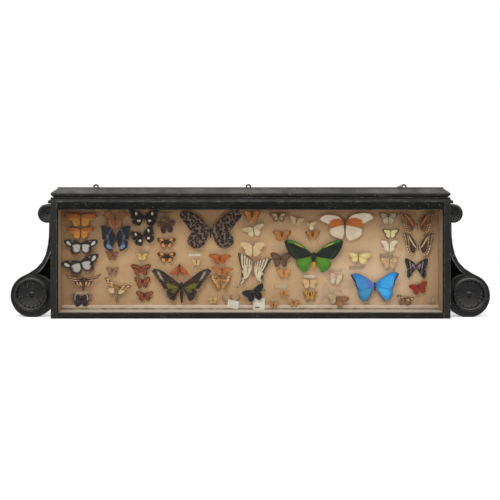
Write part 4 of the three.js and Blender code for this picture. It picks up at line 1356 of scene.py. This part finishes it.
bodySizes = dict(  # head, tail and width, in half spans
    hawkmoth_striped=(0.16, 0.64, 0.1),
    birdwing_green=(0.09, 0.53, 0.092),
    birdwing_black_green=(0.1, 0.6, 0.07),
    tree_nymph_grey=(0.08, 0.22, 0.04),
    white_orange_band=(0.1, 0.3, 0.03),
    swordtail_orange_band=(0.06, 0.3, 0.03),
    swordtail_cream_band=(0.06, 0.3, 0.03),
    morpho_blue=(0.1, 0.28, 0.055),
    swallowtail_zebra=(0.12, 0.75, 0.08),
    moth_orange_folded=(0.36, 0.45, 0.12),
    tiger_moth_cream=(0.16, 0.95, 0.15),
)
feelerReach = dict(birdwing_green=(0.2, 0.62), morpho_blue=(0.14, 0.2), white_slender_moth=None)

columns = ("name", "shape", "dress", "x", "z", "half", "turn", "tall", "off", "fur", "slot")
for row in mounted:
    name, half = row[0], row[5]
    addSpecimen(dict(
        zip(columns, row),
        sides=sideTurns.get(name, even),
        body=bodySizes.get(name, (0.1, 0.42, max(0.034, 0.9 / half))),
        feelers=feelerReach.get(name, (0.14, 0.2)),
    ))
print("specimens mounted:", len(mounted))

# Consoles: the raised band has a lip along both edges and a sunk field between. The lip on the
# inner side of the sweep is a rubbed bead, paler also as painted highlight, and the recess behind the band is
# painted near-black as shade
console = dict(
    depth=33, lip=2.2, sink=1.2, recess=55,
    middle=[
        (484.4, 240), (484.9, 201), (486.2, 178), (491.5, 155), (499.5, 137), (511.7, 120.5), (526, 107),
    ],
)


def innerSide(middle):
    height, out = middle.z / mm, abs(middle.x) / mm
    for (x0, z0), (x1, z1) in zip(console["middle"], console["middle"][1:]):
        if z1 <= height <= z0:
            return out < x0 + (x1 - x0) * (z0 - height) / (z0 - z1)
    return False


left = eased("console_left", 0.0005, sharp=40, field=console)
left.data.materials.append(beadHighlightWood)
left.data.materials.append(recessShade)
for polygon in left.data.polygons:
    middle, normal = polygon.center, polygon.normal
    # the lip on the inner side of the sweep takes the rubbed finish with its painted highlight
    if abs(middle.y - depthAt(console["depth"])) < 0.0011 and innerSide(middle):
        polygon.material_index = 2
    # faces at the back of the recess take the painted shade
    if abs(middle.y - depthAt(console["recess"])) < 0.0004 and normal.y < -0.9:
        polygon.material_index = 3
right = twin(left, "console_right_eased")
right.data.transform(Matrix.Diagonal((-1, 1, 1, 1)))
right.data.flip_normals()
finished(right, "ebonised_wood", "console_right")
print("consoles carved")

# Bosses: a turned ring, a sunk dish, petals laid round it, and a knob or a pierced collar in the middle.
# Turned steps are (inwards, back) in millimetres
carving = dict(easing=0.0003, petal=0.0012, gap=0.985, shoulder=0.88, narrowing=0.8, crease=0.3)
bosses = dict(
    drum=dict(
        height=55, out=532.4, radius=40.5, front=24, back=46,
        steps=[(2.0, -1.6), (2.6, 0), (1.6, 1.8), (0.3, 12), (16, 5), (14, 1)],
        petals=20, start=5.5, end=33.9, rim=30.8, dish=7.5, crown=0.55,
        centre=dict(radius=6.9, front=36.6, back=42.5, steps=[(0.9, -1.5), (1.4, -1.1), (2.0, -0.5)]),
    ),
    volute=dict(
        height=252, out=494, radius=20, front=32.4, back=45,
        steps=[(1.1, -0.9), (1.5, 0), (0.9, 0.8), (0.3, 7), (9, 1.5)],
        petals=15, start=4, end=16.4, rim=34.2, dish=4.2, crown=0.8,
        centre=dict(radius=5.2, front=37.2, back=41.5, steps=[(0.8, -0.9), (1.0, 0.2), (0.4, 3)]),
    ),
)


def addTurned(radius, front, back, steps):
    bpy.ops.mesh.primitive_cylinder_add(
        vertices=64, radius=radius * mm, depth=(back - front) * mm,
        location=(0, depthAt((front + back) / 2), 0), rotation=(math.pi / 2, 0, 0),
    )
    piece = bpy.context.object
    bpy.ops.object.transform_apply(location=True, rotation=True)
    piece.data.materials.append(wood)
    piece.data.materials.append(brownWorn)
    bpy.ops.object.mode_set(mode="EDIT")
    pick(piece, lambda middle, normal: normal.y < -0.9)
    for inwards, push in steps:
        bpy.ops.mesh.inset(thickness=inwards * mm)
        bpy.ops.transform.translate(value=(0, push * mm, 0))
    easeEdges(carving["easing"], 30)
    bpy.ops.object.mode_set(mode="OBJECT")
    smooth(50)
    return piece


def addPetal(boss):
    bpy.ops.mesh.primitive_grid_add(x_subdivisions=9, y_subdivisions=6, size=2)
    petal = bpy.context.object
    for v in petal.data.vertices:
        share, across = (v.co.x + 1) / 2, v.co.y
        radius = boss["start"] + (boss["end"] - boss["start"]) * share
        half = math.pi * radius / boss["petals"] * carving["gap"]
        past = max(0, share - carving["shoulder"]) / (1 - carving["shoulder"])
        half *= 1 - carving["narrowing"] * past**1.6
        depth = boss["rim"] + boss["dish"] * (1 - share**1.5)
        depth -= boss["crown"] * (0.3 + share) * (1 - across**2)
        depth += carving["crease"] * math.exp(-((across / 0.2) ** 2))
        v.co = (across * half * mm, depthAt(depth), radius * mm)
    petal.data.materials.append(wood)
    petal.data.materials.append(brownWorn)
    thicken(petal, carving["petal"], rim=1)
    faceOut(45)
    return petal


for kind, boss in bosses.items():
    parts = [addTurned(boss["radius"], boss["front"], boss["back"], boss["steps"])]
    parts.append(addTurned(**boss["centre"]))
    petal = addPetal(boss)
    for i in range(1, boss["petals"]):
        copy = twin(petal, f"{kind}_petal_{i}")
        copy.data.transform(Matrix.Rotation(2 * math.pi * i / boss["petals"], 4, "Y"))
        parts.append(copy)
    parts.append(petal)
    left = joined(kind + "_rosette_left", parts)
    right = twin(left, kind + "_rosette_right")
    for piece, side in ((left, -1), (right, 1)):
        piece.data.transform(Matrix.Translation((side * boss["out"] * mm, 0, boss["height"] * mm)))
        finished(piece, "ebonised_wood", kind + "_boss_" + ("left" if side < 0 else "right"))
print("rosettes laid")

# Screw eyes, and the scrap of string knotted on the right one. The scrap's places are counted in
# millimetres from the middle of the ring
eyes = dict(
    places=dict(left=-380, middle=-4, right=380),
    depth=71, height=316.8, ring=5.05, wire=1.9, shank=1.2, collar=2.1,
    collarHeight=2.6, collarDrop=0.4, shankLength=8, shankDrop=3,
)
scrap = dict(
    turns=(96, 112, 128, 146, 164), turn=(1.4, 0.55), loop=(2.3, 0.6), cord=(0.5, 0.55), forward=1.2,
    knots=[((-6.4, -1.0, 1.9), 1.8), ((-9.3, -0.6, 0.7), 1.9), ((-13, -0.8, -0.3), 1.5)],
    loops=[  # across, up, tilt and turn
        (-14.4, -0.5, 1.3, 0.4), (-12.2, 0.3, 1.7, -0.5), (-10.6, 0.9, 1.1, 0.9), (-8.6, 1.7, 1.5, 0.2),
        (-6.8, 2.5, 1.2, -0.9), (-4.9, 3.4, 1.8, 1.3), (-11.4, -0.7, 1.4, 0.7), (-7.9, 0.3, 2.0, -0.3),
    ],
    end=[(-5.5, -1, 3), (-9.5, -1.5, 2.4), (-13.4, -1.4, 0.8), (-17, -1.2, -1.1)],
)


def ironFinish(name, tone, rust):
    f = Finish(name, rough=0.6, Metallic=0.15, Specular_IOR_Level=0.3)
    p = f.place()
    cloud = f.noise(p, 260, 4, 0.7)
    f.feed("Base Color", f.mix(cloud.over(0.5, 0.12), shade(tone), shade(rust)))
    f.feed("Roughness", 0.4 + cloud * 0.4)
    f.bump(cloud, 0.5, 0.0003)
    return f.mat


iron = ironFinish("screw eye iron", "#100e0c", "#2a211a")


def stringFinish():
    f = Finish("cotton string", rough=0.95)
    p = f.place((1, 1, 1), (0.6, 0.4, 0))
    x, z = f.axes(p)[::2]
    # Ply stripes: the darker tone between the plies is painted shade
    twistAndShade = abs(((x + z) * 1400).fract() - 0.5) * 2
    body = f.mix(twistAndShade * 0.7, shade("#a5987f"), shade("#d8cdb4"))
    f.feed("Base Color", f.mix(f.noise(p, 300, 3).over(0.6, 0.1) * 0.4, body, shade("#7d6f58")))
    f.bump(twistAndShade, 0.5, 0.0004)
    return f.mat


string = stringFinish()


def addRing(place, turn, radius, wire, segments, finish):
    bpy.ops.mesh.primitive_torus_add(
        major_segments=segments[0], minor_segments=segments[1],
        major_radius=radius * mm, minor_radius=wire * mm, location=place, rotation=turn,
    )
    bpy.context.object.data.materials.append(finish)
    return bpy.context.object


def addScrap(place):
    parts = []
    for degrees in scrap["turns"]:
        angle = math.radians(degrees)
        spot = place + Vector((math.cos(angle), 0, math.sin(angle))) * (eyes["ring"] - 0.5) * mm
        parts.append(addRing(spot, (0.15, -angle, 0), *scrap["turn"], (14, 6), string))
    for spot, radius in scrap["knots"]:
        bpy.ops.mesh.primitive_ico_sphere_add(
            subdivisions=2, radius=radius * mm, location=place + Vector(spot) * mm
        )
        bpy.context.object.data.materials.append(string)
        parts.append(bpy.context.object)
    for across, up, tilt, turn in scrap["loops"]:
        spot = place + Vector((across, -scrap["forward"], up)) * mm
        parts.append(addRing(spot, (tilt, turn, 0.4), *scrap["loop"], (18, 6), string))
    thin, thick = scrap["cord"]
    for a, b in zip(scrap["end"], scrap["end"][1:]):
        start, end = (place + Vector(point) * mm for point in (a, b))
        parts.append(addStick(start, end, thin * mm, thick * mm, string))
    return parts


def addEye(side, x):
    place = Vector((x * mm, depthAt(eyes["depth"]), eyes["height"] * mm))
    upright = (math.pi / 2, 0, 0)
    parts = [addRing(place, upright, eyes["ring"], eyes["wire"], (28, 10), iron)]
    low = place.z - eyes["ring"] * mm
    shank = eyes["shank"] * mm
    bpy.ops.mesh.primitive_cone_add(
        vertices=14, radius1=eyes["collar"] * mm, radius2=shank, depth=eyes["collarHeight"] * mm,
        location=(place.x, place.y, low - eyes["collarDrop"] * mm),
    )
    bpy.context.object.data.materials.append(iron)
    parts.append(bpy.context.object)
    bpy.ops.mesh.primitive_cylinder_add(
        vertices=12, radius=shank, depth=eyes["shankLength"] * mm,
        location=(place.x, place.y, low - eyes["shankDrop"] * mm),
    )
    bpy.context.object.data.materials.append(iron)
    parts.append(bpy.context.object)
    if side == "right":
        parts += addScrap(place)
    eye = joined("screw_eye_bent_" + side, parts)
    smooth(60)
    finished(eye, "iron", "screw_eye_" + side)


for side, x in eyes["places"].items():
    addEye(side, x)
print("screw eyes set")

# Label strips between the specimens: X and height of the middle, width and height of the strip,
# turn in degrees, and which paper. A paper is its tone and its ink
labels = dict(
    depth=64.6, thick=0.15, curl=1.4, stand=0.3,
    papers=dict(
        dim=("#b59c7e", "#7d6952"), pale=("#cfc0a8", "#9a8a72"), dark=("#9c876d", "#5d4f40"),
    ),
    strips=[
        (-413, 56, 33, 7.4, 0, "dim"), (-258.7, 158.4, 27, 7, 3, "dark"), (-136.8, 149, 30, 6.5, 0, "pale"),
        (74.8, 166.5, 33, 8, 0, "dim"), (77.2, 72.4, 33, 9.5, 0, "dim"), (58.9, 37.8, 18, 5, 0, "dim"),
        (146.3, 96.5, 31, 7, 0, "pale"), (210.3, 111.7, 31, 7, 0, "dim"), (208, 60.5, 32, 5, 0, "dim"),
        (262, 117.8, 35, 7.4, -2, "dark"), (337.1, 218.1, 31, 6.2, 0, "dim"),
        (335.2, 148.3, 32, 8, 0, "dark"),
    ],
)


def labelFinish(name, paper, ink):
    f = Finish("label paper, " + name, rough=0.9)
    s, t = f.axes(f.add("ShaderNodeTexCoord", out="UV"))[:2]
    p = f.place()
    rule = f.noise(f.place((900, 1, 60)), 1.0, 2, 0.6).over(0.5, 0.08)
    line = abs(t - 0.5).under(0.13, 0.05) * abs(s - 0.5).under(0.4, 0.03) * rule
    rim = (abs(s - 0.5).over(0.475, 0.012) + abs(t - 0.5).over(0.4, 0.05)).over(0.5, 0.3)
    body = f.mix(f.noise(p, 90, 3).over(0.5, 0.2) * 0.5, shade(paper), shade("#a58d6f"))
    body = f.mix(rim * 0.55, body, shade(ink))
    f.feed("Base Color", f.mix(line * 0.6, body, shade(ink)))
    return f.mat


labelPapers = {name: labelFinish(name, *look) for name, look in labels["papers"].items()}


def addLabel(name, x, z, width, height, turn, paper):
    bpy.ops.mesh.primitive_grid_add(x_subdivisions=8, y_subdivisions=2, size=1)
    strip = bpy.context.object
    strip.name = name
    for v in strip.data.vertices:
        curl = labels["curl"] * (2 * v.co.x) ** 4 * abs(v.co.y + 0.5) + labels["stand"]
        v.co = (v.co.x * width * mm, -curl * mm, v.co.y * height * mm)
    strip.data.materials.append(labelPapers[paper])
    thicken(strip, labels["thick"] * mm)
    spin = Matrix.Rotation(math.radians(turn), 4, "Y")
    strip.data.transform(Matrix.Translation((x * mm, depthAt(labels["depth"]), z * mm)) @ spin)
    finished(strip, "card")


for i, strip in enumerate(labels["strips"]):
    addLabel(f"label_strip_{i + 1}", *strip)


# Cards: two lines of print too faint to read, and on the inked one a dash low down. In millimetres
card = dict(lines=(22, 18.5), reach=10.5, thick=0.6, dash=dict(height=5.5, reach=5.8, thick=2.2))


def cardFinish(name, centre, low, inked):
    f = Finish(name, rough=0.85)
    p = f.place()
    x, z = f.axes(p)[::2]
    body = f.mix(f.noise(p, 70, 4).over(0.5, 0.2) * 0.6, shade("#d9d3c6"), shade("#bdb3a0"))
    x, z = x - centre * mm, z - low * mm
    rule = f.noise(f.place((700, 1, 90)), 1.0, 2, 0.6).over(0.45, 0.08)
    for height in card["lines"]:
        line = abs(z - height * mm).under(card["thick"] * mm, 0.0003)
        line *= abs(x).under(card["reach"] * mm, 0.0005) * rule
        body = f.mix(line * 0.7, body, shade("#77726a"))
    if inked:
        dash = card["dash"]
        rise = (z - dash["height"] * mm) / (dash["thick"] * mm)
        away = ((x / (dash["reach"] * mm)) ** 2 + rise**2) ** 0.5
        blot = (away + f.noise(p, 420, 3) * 0.7).under(1.35, 0.12)
        body = f.mix(blot * 0.9, body, shade("#3c4353"))
    f.feed("Base Color", body)
    return f.mat


cover("data_card_upright", cardFinish("card, inked", 18, 14.9, True))
cover("data_card_leaning", cardFinish("card, leaning", -42, 17, False))
print("labels and cards in")
